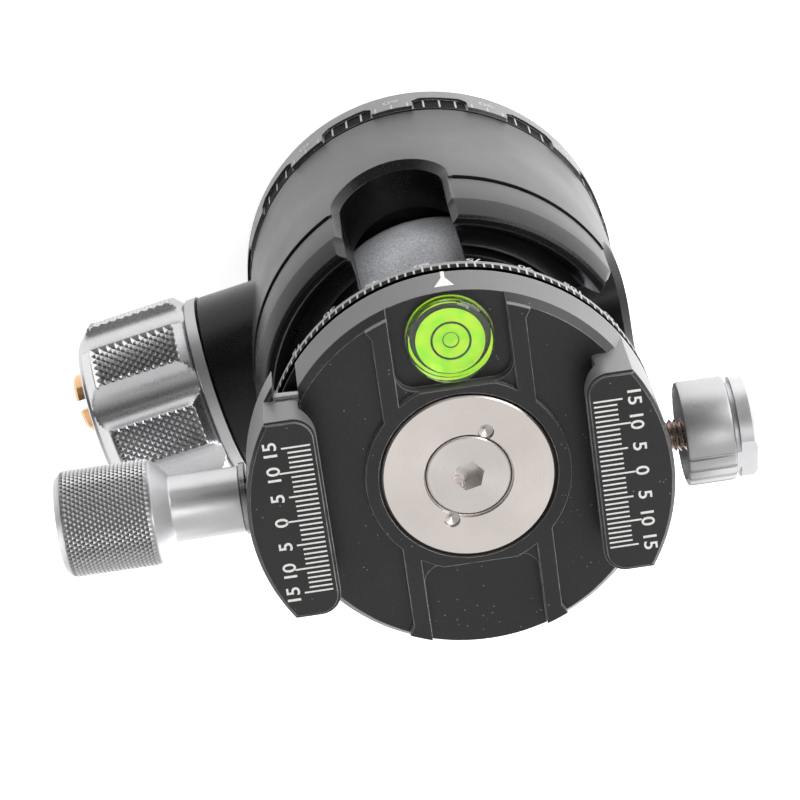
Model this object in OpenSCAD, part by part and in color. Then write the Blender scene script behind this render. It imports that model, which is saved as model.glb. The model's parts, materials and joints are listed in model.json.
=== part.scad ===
// Tripod ball head: panning base, notched housing, ball with panning
// stem ring, and a quick release clamp with a screw driven jaw.
// Millimetres, +Z up, origin on the base's bottom face at its thread.

/* [Base] */
// How far the graduated base ring stands out past the housing
base_step = 0.55; // [0:0.05:2]
// Height of the base ring
base_h = 8.4; // [6:0.1:12]
// Air gap under the housing, filled by the glide washer
pan_gap = 0.3; // [0.3:0.05:0.8]
// Radius of the base's centre spigot
spigot_r = 12; // [10:0.1:14]
// Distance of the glide washer from the base ring's edge
washer_inset = 6.4; // [5:0.1:8]
// Radius of the plate that holds the housing down
retainer_r = 16; // [14:0.1:18]
// Thickness of that plate
retainer_t = 2.2; // [1.6:0.1:3]
// Radius of the plate's screws
small_screw_r = 1.5; // [1.2:0.05:1.6]
// Distance of the plate's screws from the axis
screw_circle_r = 9.3; // [9:0.1:9.8]
// Radius of the tripod screw hole
tripod_hole_r = 4.76; // [4.76:0.01:6]
// Depth of the tripod screw hole
tripod_hole_depth = 10; // [8:0.5:12]
// Outer radius of the steel thread insert
insert_r = 7; // [6:0.1:8]
// Number of windows round the base ring
window_count = 12; // [6:1:18]
// Width of one window
window_w = 9.2; // [4:0.1:10]
// Height of one window, down from the ring's top
window_h = 4.3; // [3:0.1:6]
// Corner cut of a window
window_cut = 1.2; // [0.5:0.1:2]
// Depth of one window
window_depth = 0.45; // [0.3:0.05:1]
// Pan angle of the housing as drawn
housing_yaw = 10.4; // [0:0.1:45]
// Angle of the base's zero mark as drawn
base_yaw = 4.7; // [0:0.1:30]

/* [Housing] */
// Outer radius below the groove
housing_r = 30.4; // [28:0.05:34]
// Height of the groove's lower edge
groove_z = 43.3; // [38:0.1:48]
// Width of the groove
groove_w = 0.9; // [0.5:0.1:2]
// Depth of the groove
groove_depth = 0.8; // [0.4:0.1:1.5]
// Step inwards from the lower wall to the band above the groove
band_step = 0.35; // [0:0.05:1]
// Height where the shoulder's bevel starts
shoulder_z = 53.45; // [50:0.05:56]
// Height of the housing's rim
rim_z = 57.9; // [55:0.1:60]
// Distance of the rim inwards from the lower wall
rim_inset = 1.7; // [1:0.1:3]
// Height of the trough between rim and collar
trough_z = 53.1; // [50:0.1:55]
// Width of the rim at its top
rim_w = 1.4; // [1:0.1:2]
// Radius of the bore that holds the ball cup
chamber_r = 22.6; // [22.5:0.05:23.5]
// Height of the floor over the base
floor_z = 14; // [12:0.1:15]
// Height of the ledge that carries the cup spring
ledge_z = 17.4; // [16:0.1:18]
// Half width of the drop notches
notch_r = 8.3; // [8.1:0.05:9]
// Bevel of the drop notches
notch_bevel = 1.3; // [0.5:0.1:2]
// Radius of the boss that carries the main knob
boss_r = 14.9; // [12:0.1:15.2]
// Height of the main knob's axis
boss_z = 24.4; // [23.7:0.1:26]
// How far that boss stands out from the lower wall
boss_out = 6.3; // [4:0.1:9]
// Wall outside the floor ring's thread
floor_wall = 5.8; // [5:0.1:6.5]
// Radius of the small boss for the pan lock
lock_boss_r = 6.2; // [5:0.1:7]
// Height of the pan lock's axis
lock_z = 11.4; // [11:0.1:12]
// How far that small boss stands out from the lower wall
lock_boss_out = 1.6; // [1:0.1:4]
// Gap between that boss and its knob
lock_stand = 2; // [1:0.1:4]
// Height of the cup that carries the ball
cup_h = 14.2; // [12:0.1:15]
// Height of the cup spring
spring_h = 1.05; // [0.8:0.05:1.5]

/* [Ball and stem] */
// Height of the ball's centre
ball_z = 42.2; // [40:0.1:44]
// Radius of the ball
ball_r = 22; // [20:0.05:22.2]
// Gap between the ball and its seats
seat_gap = 0.3; // [0.3:0.05:0.6]
// Radius of the stem
stem_r = 7.8; // [6:0.05:7.9]
// Height of the collar's top
collar_z = 56.5; // [55:0.1:58]
// Outer radius of the collar above the trough
collar_r = 22.4; // [21:0.1:23]
// Radius of the collar's opening
collar_open_r = 17.2; // [16.8:0.1:18]
// Depth of the stem's socket in the ball
socket_depth = 10; // [8:0.5:14]
// Height of the neck between the stem and the panning ring
ring_drop = 2.6; // [2:0.1:4]
// Width of the groove over the panning ring's scale
scale_gap = 0.5; // [0.3:0.05:1]
// Height of the panning ring's lower edge
ring_z = 77; // [76:0.1:78]
// Height of the panning ring's top face
ring_top_z = 80.4; // [79:0.1:81]
// Radius of the panning spindle
spindle_r = 9.2; // [8:0.05:10]

/* [Clamp] */
// Radius of the clamp body at its foot and round the jaws
clamp_r = 28.84; // [27:0.02:30]
// How far the clamp wall leans in up to the bed's edge
bed_lean = 1.14; // [0.5:0.02:2]
// Height of the plateau and the bearing disc
bed_z = 88.2; // [86:0.1:90]
// Height of the plateau over the floor beside it
plateau_h = 1; // [0.5:0.1:1.4]
// Depth of the two pockets below the plateau
pocket_depth = 2.4; // [1.5:0.1:3]
// Half width of the pockets
pocket_half_w = 8.5; // [7:0.1:9.5]
// Width of the ribs beside the pockets
rib_w = 2.4; // [1.5:0.1:4]
// Distance of a pocket's inner edge from the axis
pocket_y = 13.8; // [13.2:0.1:15]
// Outer radius of the plateau round the disc
plateau_r = 14.8; // [14:0.1:16]
// Radius of the bearing disc
disc_r = 12.5; // [11:0.1:12.8]
// Thickness of the bearing disc
disc_t = 1.6; // [1.4:0.1:2]
// Gap round the bearing disc
disc_gap = 0.4; // [0.3:0.05:0.8]
// Distance of the disc's spanner holes from the axis
spanner_r = 7.25; // [7:0.05:9]
// Radius of the spanner holes
spanner_hole_r = 1.15; // [0.8:0.05:1.5]
// Turn of the spanner holes as drawn
spanner_turn = 63.5; // [0:0.5:90]
// Height of the jaws over the bed
jaw_h = 6.43; // [5:0.01:8]
// Half length of the jaws
jaw_half_len = 15.4; // [14:0.1:17]
// Distance of the fixed lip from the axis
lip_x = 17.5; // [17:0.1:18]
// How far the movable jaw stands open
jaw_open = 3; // [0:0.1:4]
// Thickness of the movable jaw's lower block
jaw_t = 6.04; // [5:0.02:7]
// Gap between that block and the closed clamp
jaw_clear = 0.5; // [0.3:0.1:1]
// Height of a lip's nose over its undercut
lip_h = 2.33; // [1.5:0.01:3]
// Depth of the undercut behind a lip
undercut = 2.1; // [1.5:0.1:2.5]
// Height of the clamp screw's axis
screw_z = 84.5; // [84:0.1:84.7]
// Radius of the clamp and lock screws
screw_r = 2.4; // [2:0.05:2.5]
// Radius of the guide pins
guide_r = 1.4; // [1:0.05:2]
// Distance of the guide pins from the ends of the jaw's lower block
guide_inset = 3.7; // [3:0.1:6]
// Depth of the guide pins in the movable jaw
guide_grip = 1; // [0.6:0.1:1.5]
// Height of the guide pins
guide_z = 84.4; // [83:0.1:85]

/* [Bubble level] */
// Radius of the clear vial
vial_r = 6.25; // [5:0.05:6.4]
// Wall of the vial
vial_wall = 1.3; // [0.8:0.05:1.6]
// Roof of the vial
vial_roof = 0.8; // [0.6:0.05:1.2]
// Height of the vial
vial_h = 3.8; // [3:0.1:4]
// Thickness of the plug under the liquid
plug_t = 0.8; // [0.5:0.1:1]
// Distance of the vial from the axis
vial_y = 20.8; // [20:0.1:21]
// How far the vial's top stays below the bed
vial_drop = 0.2; // [0:0.1:1]

/* [Knobs] */
// Radius of the main knob's lands
main_knob_r = 16.4; // [14:0.1:18]
// Number of flutes in the main knob
flute_count = 7; // [5:1:9]
// Radius of the flute cutter
flute_r = 5; // [3:0.1:7]
// Depth of a flute
flute_depth = 2; // [1:0.1:2.5]
// Turn of the flutes as drawn
flute_phase = 29.6; // [0:0.1:51]
// Thickness of the main knob's flange
flange_t = 2.1; // [1.5:0.1:4]
// Width of the main knob's inner shoulder
shoulder_w = 1.7; // [1:0.1:3]
// Radius of the main screw
main_screw_r = 4; // [3:0.1:4.4]
// Length of the main knob
main_knob_len = 18.7; // [14:0.1:22]
// Radius of the friction screw
friction_r = 4.8; // [3:0.1:5.5]
// Offset of the friction screw from the knob's axis
friction_off = 4.2; // [0:0.1:6]
// Turn of the friction screw's place and slot as drawn
friction_turn = 18.1; // [0:0.1:90]
// How far the friction screw stands out
friction_out = 2.9; // [1:0.1:4]
// Width of the friction screw's slot
slot_w = 1.7; // [1:0.1:2.4]
// Depth of the friction screw's slot
slot_depth = 1.7; // [1:0.1:2.4]
// Radius of the clamp knob's knurled head
clamp_knob_r = 7.75; // [6:0.05:9]
// Length of the clamp knob's knurled head
clamp_knob_len = 13.6; // [9:0.1:16]
// Radius of the clamp knob's neck
neck_r = 4.8; // [4:0.05:6]
// Length of the clamp knob's neck
neck_len = 10.7; // [6:0.1:14]
// Radius of the pan lock knobs
lock_knob_r = 7.6; // [6:0.1:9]
// Length of the pan lock knobs' grips
lock_knob_len = 7; // [5:0.1:10]
// Length of the end caps on the lock knobs
lock_cap_len = 2.6; // [1.5:0.1:4]
// Distance of the pan lock knob from the clamp wall
pan_lock_stand = 2.3; // [1:0.1:4]
// Radius of the nylon tips of the lock screws
pad_r = 1.5; // [1:0.05:2]
// Length of those tips
pad_len = 9; // [6:0.1:12]

/* [Fits] */
// Running clearance of shafts and screws in their bores
run_gap = 0.05; // [0.02:0.01:0.1]
// Clear gap between pieces that pass each other
air_gap = 0.3; // [0.25:0.05:0.6]

/* [Hidden] */
$fn = 96;
base_r = housing_r + base_step;
housing_z = base_h + pan_gap;
rim_r = housing_r - rim_inset;
rim_inner_r = rim_r - rim_w;
floor_thread_r = housing_r - floor_wall;
boss_end = housing_r + boss_out;
lock_boss_end = housing_r + lock_boss_out;
ring_r = clamp_r;
bed_edge_r = clamp_r - bed_lean;
bed_floor_z = bed_z - plateau_h;
pocket_z = bed_z - pocket_depth;
clamp_z = ring_top_z + scale_gap;
jaw_z = bed_z + jaw_h;
lip_z = jaw_z - lip_h;
disc_z = bed_z - disc_t;
seat_r = ball_r + seat_gap;
main_knob_x = boss_end + flange_t;
main_knob_end = main_knob_x + main_knob_len;
cut_x = clamp_r - jaw_t - jaw_clear;
jaw_x = cut_x + jaw_clear + jaw_open;
guide_y = sqrt(pow(clamp_r, 2) - pow(clamp_r - jaw_t, 2)) - guide_inset;
bore_x = disc_r + disc_gap + air_gap;
jaw_face_x = clamp_r + jaw_open;
knob_x = jaw_face_x + air_gap;
lock_x = clamp_r + pan_lock_stand;
base_lock_x = lock_boss_end + lock_stand;
retainer_z = floor_z + air_gap;
cup_z = ledge_z + spring_h + 0.15;
cup_top_z = cup_z + cup_h;
main_tip_x = chamber_r + 1.8;
lock_pad_x = spindle_r + air_gap;
base_pad_x = spigot_r + air_gap;
stem_top_z = ring_z - ring_drop;
vial_top_z = bed_z - vial_drop;
vial_z = vial_top_z - vial_h;
eps = 0.01;

// Sub-part to show

// ---- helpers ------------------------------------------------------

// Cylinder along +X from x0 to x1 at height z.
module rod_x(x0, x1, r, z, r2 = -1) {
  translate([x0, 0, z]) rotate([0, 90, 0])
    cylinder(h = x1 - x0, r1 = r, r2 = r2 < 0 ? r : r2);
}

// Tube along Z.
module tube(z0, z1, r_in, r_out) {
  difference() {
    translate([0, 0, z0]) cylinder(h = z1 - z0, r = r_out);
    translate([0, 0, z0 - 1]) cylinder(h = z1 - z0 + 2, r = r_in);
  }
}

// Square with rounded corners between two corner points.
module rounded(x0, y0, x1, y1, r) {
  translate([x0 + r, y0]) square([x1 - x0 - 2 * r, y1 - y0]);
  translate([x0, y0 + r]) square([x1 - x0, y1 - y0 - 2 * r]);
  for (x = [x0 + r, x1 - r], y = [y0 + r, y1 - r])
    translate([x, y]) circle(r = r);
}

// Everything of the housing body turned to its drawn pan angle.
module at_housing() rotate([0, 0, housing_yaw]) children();

// Turned so that local +X is the main knob's axis at its height.
module at_main() at_housing() translate([0, 0, boss_z]) children();

// Turned so that local +X is the base lock's axis, behind the housing.
module at_base_lock() at_housing() rotate([0, 0, 90])
  translate([0, 0, lock_z]) children();

// Turned so that local +X is the pan lock's axis, on the clamp's far side.
module at_pan_lock() rotate([0, 0, 180]) translate([0, 0, screw_z])
  children();

// ---- base ---------------------------------------------------------

// One window cutter on the base ring's wall, open to the ring's top.
module window_cutter() {
  w = window_w / 2;
  low = base_h - window_h;
  difference() {
    rotate([90, 0, 90]) linear_extrude(height = base_r + 2)
      polygon([[-w + window_cut, low], [w - window_cut, low],
               [w, low + window_cut], [w, base_h + 1],
               [-w, base_h + 1], [-w, low + window_cut]]);
    translate([0, 0, -1]) cylinder(h = base_h + 3, r = base_r - window_depth);
  }
}

module base_plate() color("#26272a") rotate([0, 0, base_yaw])
  difference() {
    rotate_extrude() polygon([
      [0, 0], [10, 0], [10.6, 0.6], [20.4, 0.6], [21, 0],
      [base_r - 0.7, 0], [base_r, 0.7],
      [base_r, base_h - 0.5], [base_r - 0.5, base_h],
      [spigot_r + 0.8, base_h], [spigot_r, base_h + 0.4],
      [spigot_r, retainer_z], [0, retainer_z]]);
    translate([0, 0, -1]) cylinder(h = retainer_z + 2, r = insert_r);
    tube(base_h - 0.6, base_h + 1, spigot_r + 3, base_r - washer_inset + 0.4);
    for (i = [0 : window_count - 1])
      rotate([0, 0, -90 + 15 + i * 360 / window_count]) window_cutter();
    for (i = [0 : 2]) rotate([0, 0, i * 120])
      translate([screw_circle_r, 0, retainer_z - 5])
        cylinder(h = 6, r = small_screw_r, $fn = 32);
  }

module thread_insert() color("#b9bcc0") difference() {
  cylinder(h = retainer_z - 0.4, r = insert_r);
  translate([0, 0, -1]) cylinder(h = tripod_hole_depth + 1,
    r = tripod_hole_r);
}

module glide_washer() color("#e8e6df")
  tube(base_h - 0.55, housing_z - 0.02, spigot_r + 3.4,
    base_r - washer_inset);

module base_retainer() color("#a8abb0") rotate([0, 0, base_yaw])
  difference() {
    translate([0, 0, retainer_z]) cylinder(h = retainer_t, r = retainer_r);
    translate([0, 0, retainer_z - 1]) cylinder(h = retainer_t + 2, r = 5);
    for (i = [0 : 2]) rotate([0, 0, i * 120])
      translate([screw_circle_r, 0, 0]) {
        translate([0, 0, retainer_z - 1])
          cylinder(h = 9, r = small_screw_r, $fn = 32);
        translate([0, 0, retainer_z + retainer_t - 1.4])
          cylinder(h = 1.41, r1 = small_screw_r, r2 = 2.9, $fn = 32);
      }
  }

module retainer_screws() color("#8b8e93") rotate([0, 0, base_yaw])
  for (i = [0 : 2]) rotate([0, 0, i * 120])
    translate([screw_circle_r, 0, 0]) difference() {
      union() {
        translate([0, 0, retainer_z - 4.6])
          cylinder(h = 5.4, r = small_screw_r, $fn = 32);
        translate([0, 0, retainer_z + retainer_t - 1.4])
          cylinder(h = 1.4, r1 = small_screw_r, r2 = 2.88, $fn = 32);
      }
      translate([0, 0, retainer_z + retainer_t - 1.1])
        cylinder(h = 2, r = 1.15, $fn = 6);
    }

// ---- housing ------------------------------------------------------

// Outer body of revolution with the groove, the band and the shoulder.
module housing_shell() rotate_extrude() polygon([
  [housing_r - 0.5, housing_z], [housing_r, housing_z + 0.5],
  [housing_r, groove_z], [housing_r - groove_depth, groove_z],
  [housing_r - groove_depth, groove_z + groove_w],
  [housing_r - band_step, groove_z + groove_w],
  [housing_r - band_step, shoulder_z], [rim_r + 0.35, rim_z - 0.35],
  [rim_r - 0.2, rim_z], [rim_inner_r + 0.4, rim_z],
  [rim_inner_r - 0.3, rim_z - 0.5], [rim_inner_r - 0.9, rim_z - 2.2],
  [rim_inner_r - 1.6, trough_z + 0.5],
  [rim_inner_r - 2.2, trough_z], [collar_r + 0.4, trough_z],
  [collar_r, trough_z + 0.4], [collar_r, collar_z - 0.6],
  [collar_r - 0.6, collar_z], [collar_open_r + 0.5, collar_z],
  [collar_open_r, collar_z - 0.5], [spigot_r - 3, collar_z - 0.5],
  [spigot_r - 3, housing_z]]);

// Drop notch towards -Y: a round bottomed slot with bevelled edges.
module notch_cutter() {
  far = housing_r + 2;
  deep = housing_r - 1.5 * notch_bevel;
  rotate([90, 0, 0]) {
    translate([0, ball_z, 12]) cylinder(h = far, r = notch_r);
    translate([0, ball_z, deep])
      cylinder(h = 6, r1 = notch_r, r2 = notch_r + 6);
    translate([-notch_r, ball_z, 12]) cube([2 * notch_r, 30, far]);
  }
  translate([0, 0, ball_z]) linear_extrude(height = 30)
    polygon([[-notch_r, -deep], [-notch_r - 6, -deep - 6],
             [notch_r + 6, -deep - 6], [notch_r, -deep]]);
}

module housing() color("#1d1e20") at_housing() difference() {
  union() {
    housing_shell();
    rod_x(16, boss_end - 0.5, boss_r, boss_z);
    rod_x(boss_end - 0.5, boss_end, boss_r, boss_z, boss_r - 0.5);
    rotate([0, 0, 90]) intersection() {
      rod_x(24, lock_boss_end, lock_boss_r, lock_z);
      translate([0, -20, housing_z]) cube([40, 40, 20]);
    }
  }
  translate([0, 0, ledge_z]) cylinder(h = ball_z + 2 - ledge_z, r = chamber_r);
  translate([0, 0, ball_z]) sphere(r = seat_r);
  translate([0, 0, ball_z]) cylinder(h = 40, r = collar_open_r);
  translate([0, 0, housing_z - 1]) cylinder(h = ledge_z - housing_z + 1,
    r = floor_thread_r + run_gap);
  notch_cutter();
  rotate([0, 0, -90]) notch_cutter();
  rod_x(chamber_r - 2, boss_end + 1, main_screw_r + run_gap, boss_z);
  rotate([0, 0, 90]) rod_x(floor_thread_r - 2, lock_boss_end + 1,
    screw_r + run_gap, lock_z);
}

// Floor ring screwed in from below, after the ball and its cup.
module housing_floor() color("#26272a") at_housing() difference() {
  translate([0, 0, housing_z])
    cylinder(h = ledge_z - housing_z - 0.02, r = floor_thread_r);
  translate([0, 0, floor_z]) cylinder(h = ledge_z, r = chamber_r - 3.1);
  translate([0, 0, housing_z - 1]) cylinder(h = ledge_z,
    r = spigot_r + air_gap);
  rotate([0, 0, 90]) {
    rod_x(spigot_r - 2, base_pad_x + pad_len + 1, pad_r + run_gap, lock_z);
    rod_x(base_pad_x + pad_len, floor_thread_r + 1, screw_r + run_gap,
      lock_z);
  }
}

module ball_cup() color("#c9a24a") difference() {
  rotate_extrude() polygon([
    [7, cup_z], [chamber_r - 1.2, cup_z], [chamber_r - air_gap, cup_z + 0.9],
    [chamber_r - air_gap, cup_top_z], [7, cup_top_z]]);
  translate([0, 0, ball_z]) sphere(r = seat_r);
}

module cup_spring() color("#9a9da2")
  tube(ledge_z + 0.02, cup_z - 0.15, chamber_r - 2.8, chamber_r - 0.6);

module pressure_pad() color("#b58a3a") at_main()
  rod_x(chamber_r + 0.05, main_tip_x - 0.1, main_screw_r - 0.1, 0);

module main_lock_screw() color("#9da0a5") at_main()
  rod_x(main_tip_x, main_knob_x + 7, main_screw_r, 0);

// Body of the main knob with flutes that run out through both bevels.
module main_knob() color("#c6c8cb") at_main() difference() {
  rotate([0, 90, 0]) rotate_extrude() polygon([
    [main_screw_r + 0.3, main_knob_x],
    [main_knob_r - flute_depth + 0.1, main_knob_x],
    [main_knob_r, main_knob_x + shoulder_w],
    [main_knob_r, main_knob_end - 2.6], [main_knob_r - 2.1, main_knob_end - 0.9],
    [main_knob_r - 2.1, main_knob_end - 0.5], [main_knob_r - 2.7, main_knob_end - 0.5],
    [main_knob_r - 3, main_knob_end], [0, main_knob_end],
    [0, main_knob_x + 7.5], [main_screw_r + 0.3, main_knob_x + 7.5]]);
  for (i = [0 : flute_count - 1])
    rotate([flute_phase + i * 360 / flute_count, 0, 0])
      translate([0, 0, main_knob_r - flute_depth + flute_r])
        rod_x(main_knob_x - 5, main_knob_end + 5, flute_r, 0);
  friction_seat() rod_x(main_knob_end - 6, main_knob_end + 5,
    friction_r - 1.2 + run_gap, 0);
}

// Friction screw's place in the knob's end face, off the knob's axis.
module friction_seat() rotate([friction_turn, 0, 0])
  translate([0, -friction_off, 0]) children();

module main_knob_flange() color("#b4b6ba") at_main() difference() {
  union() {
    rod_x(boss_end + 0.2, main_knob_x - 0.25, boss_r + 0.2, 0);
    rod_x(main_knob_x - 0.25, main_knob_x - 0.05, boss_r + 0.2, 0, boss_r);
  }
  rod_x(boss_end - 1, main_knob_x + 1, main_screw_r + 0.3, 0);
}

module friction_screw() color("#b9824a") at_main() friction_seat()
  difference() {
    union() {
      rod_x(main_knob_end - 5.5, main_knob_end + 0.1, friction_r - 1.2, 0);
      rod_x(main_knob_end + 0.1, main_knob_end + friction_out - 0.5,
        friction_r, 0);
      rod_x(main_knob_end + friction_out - 0.5,
        main_knob_end + friction_out, friction_r, 0, friction_r - 0.5);
    }
    translate([main_knob_end + friction_out - slot_depth, -slot_w / 2,
               -friction_r - 1])
      cube([slot_depth + 1, slot_w, 2 * friction_r + 2]);
  }

// ---- lock knobs ---------------------------------------------------

// Grip with three groups of fine grooves, hollowed on its inner face.
module lock_grip(x0) difference() {
  union() {
    rod_x(x0, x0 + 0.4, lock_knob_r - 0.4, 0, lock_knob_r);
    rod_x(x0 + 0.4, x0 + lock_knob_len - 0.5, lock_knob_r, 0);
    rod_x(x0 + lock_knob_len - 0.5, x0 + lock_knob_len, lock_knob_r,
      0, lock_knob_r - 0.5);
  }
  rod_x(x0 - 1, x0 + 1.5, lock_knob_r - 1.1, 0);
  rod_x(x0 - 1, x0 + lock_knob_len - 1.5, screw_r + 0.1, 0);
  for (g = [0 : 2], k = [-2 : 2])
    rotate([g * 120 + 130 + k * 11, 0, 0])
      translate([x0 - 1, 0, lock_knob_r])
        rotate([0, 90, 0]) cylinder(h = lock_knob_len + 2, r = 0.28, $fn = 24);
}

// End cap of a lock knob with two flats.
module lock_cap(x0) intersection() {
  union() {
    rod_x(x0 + lock_knob_len + 0.05, x0 + lock_knob_len + 0.7,
      lock_knob_r - 1.1, 0);
    rod_x(x0 + lock_knob_len + 0.7, x0 + lock_knob_len + lock_cap_len,
      lock_knob_r - 0.3, 0);
    rod_x(x0 + lock_knob_len + lock_cap_len,
      x0 + lock_knob_len + lock_cap_len + 0.5, lock_knob_r - 0.3, 0,
      lock_knob_r - 0.8);
  }
  rotate([25, 0, 0]) translate([0, -lock_knob_r, -lock_knob_r + 1.3])
    cube([80, 2 * lock_knob_r, 2 * lock_knob_r - 2.6]);
}

module base_lock_knob() color("#c6c8cb") at_base_lock()
  lock_grip(base_lock_x);
module base_lock_cap() color("#c6c8cb") at_base_lock()
  lock_cap(base_lock_x);
module base_lock_screw() color("#9da0a5") at_base_lock()
  rod_x(base_pad_x + pad_len + 0.1, base_lock_x + lock_knob_len - 1.6,
    screw_r, 0);
module base_lock_pad() color("#f0ece0") at_base_lock()
  rod_x(base_pad_x, base_pad_x + pad_len, pad_r, 0);

module pan_lock_knob() color("#c6c8cb") at_pan_lock() lock_grip(lock_x);
module pan_lock_cap() color("#c6c8cb") at_pan_lock() lock_cap(lock_x);
module pan_lock_screw() color("#9da0a5") at_pan_lock()
  rod_x(lock_pad_x + pad_len + 0.1, lock_x + lock_knob_len - 1.6,
    screw_r, 0);
module pan_lock_pad() color("#f0ece0") at_pan_lock()
  rod_x(lock_pad_x, lock_pad_x + pad_len, pad_r, 0);

// ---- ball ---------------------------------------------------------

module ball() color("#3a3b3e") difference() {
  translate([0, 0, ball_z]) sphere(r = ball_r, $fn = 128);
  translate([0, 0, ball_z + ball_r - socket_depth])
    cylinder(h = ball_r, r = stem_r - 1);
  translate([0, 0, ball_z + ball_r - 1.6]) cylinder(h = 10, r = stem_r);
}

module stem() color("#6d6f73") rotate_extrude() difference() {
  polygon([
    [0, ball_z + ball_r - socket_depth],
    [stem_r - 1, ball_z + ball_r - socket_depth],
    [stem_r - 1, ball_z + ball_r - 1.6], [stem_r, ball_z + ball_r - 1.6],
    [stem_r, stem_top_z], [0, stem_top_z]]);
  translate([0, stem_top_z - 12]) square([3, 13]);
}

module panning_ring() color("#2e2f32") difference() {
  rotate_extrude() polygon([
    [3, stem_top_z], [stem_r + 0.6, stem_top_z], [ring_r - 2.4, ring_z - 0.9],
    [ring_r - 0.6, ring_z], [ring_r, ring_z + 0.5],
    [ring_r, ring_top_z - scale_gap], [ring_r - scale_gap, ring_top_z - scale_gap],
    [ring_r - scale_gap, ring_top_z],
    [spindle_r, ring_top_z], [spindle_r, disc_z], [3, disc_z]]);
}

module bearing_disc() color("#cfc9c2") difference() {
  union() {
    translate([0, 0, disc_z]) cylinder(h = disc_t - 0.25, r = disc_r);
    translate([0, 0, bed_z - 0.25])
      cylinder(h = 0.25, r1 = disc_r, r2 = disc_r - 0.25);
  }
  translate([0, 0, disc_z - 1]) cylinder(h = 5, r = 3.2);
  translate([0, 0, disc_z + 0.1]) cylinder(h = 1.501, r1 = 5.4, r2 = 6.5);
  for (i = [0, 1]) rotate([0, 0, spanner_turn + i * 180])
    translate([spanner_r, 0, disc_z - 1])
      cylinder(h = 5, r = spanner_hole_r, $fn = 48);
}

module centre_screw() color("#cfc9c2") difference() {
  union() {
    translate([0, 0, stem_top_z - 8])
      cylinder(h = disc_z - stem_top_z + 8.2, r = 2.95);
    translate([0, 0, disc_z + 0.12])
      cylinder(h = 1.1, r1 = 5.3, r2 = 6.1);
    translate([0, 0, disc_z + 1.22])
      cylinder(h = 0.2, r1 = 6.1, r2 = 5.9);
  }
  translate([0, 0, disc_z - 1.6]) rotate([0, 0, 12])
    cylinder(h = 6, r = 2.31, $fn = 6);
}

module pan_washer() color("#e8e6df")
  tube(ring_top_z + 0.02, clamp_z - 0.02, spindle_r + 1.5, 16.5);

// ---- clamp --------------------------------------------------------

// Dovetail profile of a jaw seen along Y, lip towards -X at x = 0.
module jaw_profile(z0, depth) polygon([
  [0.45, jaw_z], [0, jaw_z - 0.45], [0, lip_z],
  [undercut, lip_z - undercut], [undercut, bed_floor_z + 1.2],
  [undercut - 0.5, z0], [depth, z0], [depth, jaw_z]]);

// Jaw block between the lip and the round outer wall.
module jaw_block(z0) intersection() {
  translate([0, 40, 0]) rotate([90, 0, 0]) linear_extrude(height = 80)
    translate([lip_x, 0]) jaw_profile(z0, 16);
  union() {
    translate([0, 0, z0]) linear_extrude(height = jaw_z - z0 - 0.45)
      rounded(lip_x, -jaw_half_len, 40, jaw_half_len, 3.2);
    translate([0, 0, z0]) linear_extrude(height = jaw_z - z0)
      rounded(lip_x + 0.45, -jaw_half_len + 0.45, 40,
        jaw_half_len - 0.45, 2.8);
  }
  union() {
    translate([0, 0, z0]) cylinder(h = jaw_z - z0 - 0.5, r = clamp_r);
    translate([0, 0, jaw_z - 0.5 - eps])
      cylinder(h = 0.5 + eps, r1 = clamp_r, r2 = clamp_r - 0.5);
  }
}

// Plateau with two ribs and a ring round the bearing disc.
module bed_plateau() intersection() {
  linear_extrude(height = plateau_h) {
    circle(r = plateau_r);
    for (s = [-1, 1]) {
      translate([s > 0 ? pocket_half_w : -pocket_half_w - rib_w, -26.6])
        square([rib_w, 53.2]);
      for (t = [-1, 1]) polygon([
        [s * (pocket_half_w + rib_w - 0.1), t * 22.6],
        [s * (pocket_half_w + rib_w + 2.2), t * 26.6],
        [s * (pocket_half_w + rib_w - 0.1), t * 26.6]]);
    }
  }
  translate([0, 0, -1]) cylinder(h = 4, r = bed_edge_r - 0.9);
}

// Pocket towards +Y with rounded inner corners.
module pocket_cutter() translate([0, 0, pocket_z])
  linear_extrude(height = 6)
    rounded(-pocket_half_w, pocket_y, pocket_half_w, pocket_y + 24, 3);

module clamp_body() color("#1a1b1d") difference() {
  union() {
    difference() {
      union() {
        rotate_extrude() polygon([
          [0, clamp_z], [clamp_r - 0.3, clamp_z], [clamp_r, clamp_z + 0.3],
          [bed_edge_r, pocket_z], [bed_edge_r - 1, bed_floor_z],
          [0, bed_floor_z]]);
        translate([0, 0, bed_floor_z - eps]) bed_plateau();
      }
      pocket_cutter();
      rotate([0, 0, 180]) pocket_cutter();
    }
    rotate([0, 0, 180]) jaw_block(clamp_z + 0.6);
  }
  translate([cut_x, -40, clamp_z - 1]) cube([20, 80, 20]);
  translate([0, 0, disc_z - 0.3]) cylinder(h = 9, r = disc_r + disc_gap);
  translate([0, 0, clamp_z - 1]) cylinder(h = 9, r = spindle_r + air_gap);
  translate([0, -vial_y, vial_z]) cylinder(h = 9, r = vial_r + run_gap);
  rod_x(bore_x, cut_x + 1, screw_r + run_gap, screw_z);
  for (s = [-1, 1]) translate([0, s * guide_y, 0])
    rod_x(bore_x, cut_x + 1, guide_r + run_gap, guide_z);
  rotate([0, 0, 180]) {
    rod_x(spindle_r - 4, lock_pad_x + pad_len + 1, pad_r + run_gap, screw_z);
    rod_x(lock_pad_x + pad_len, clamp_r + 9, screw_r + run_gap, screw_z);
  }
}

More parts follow.
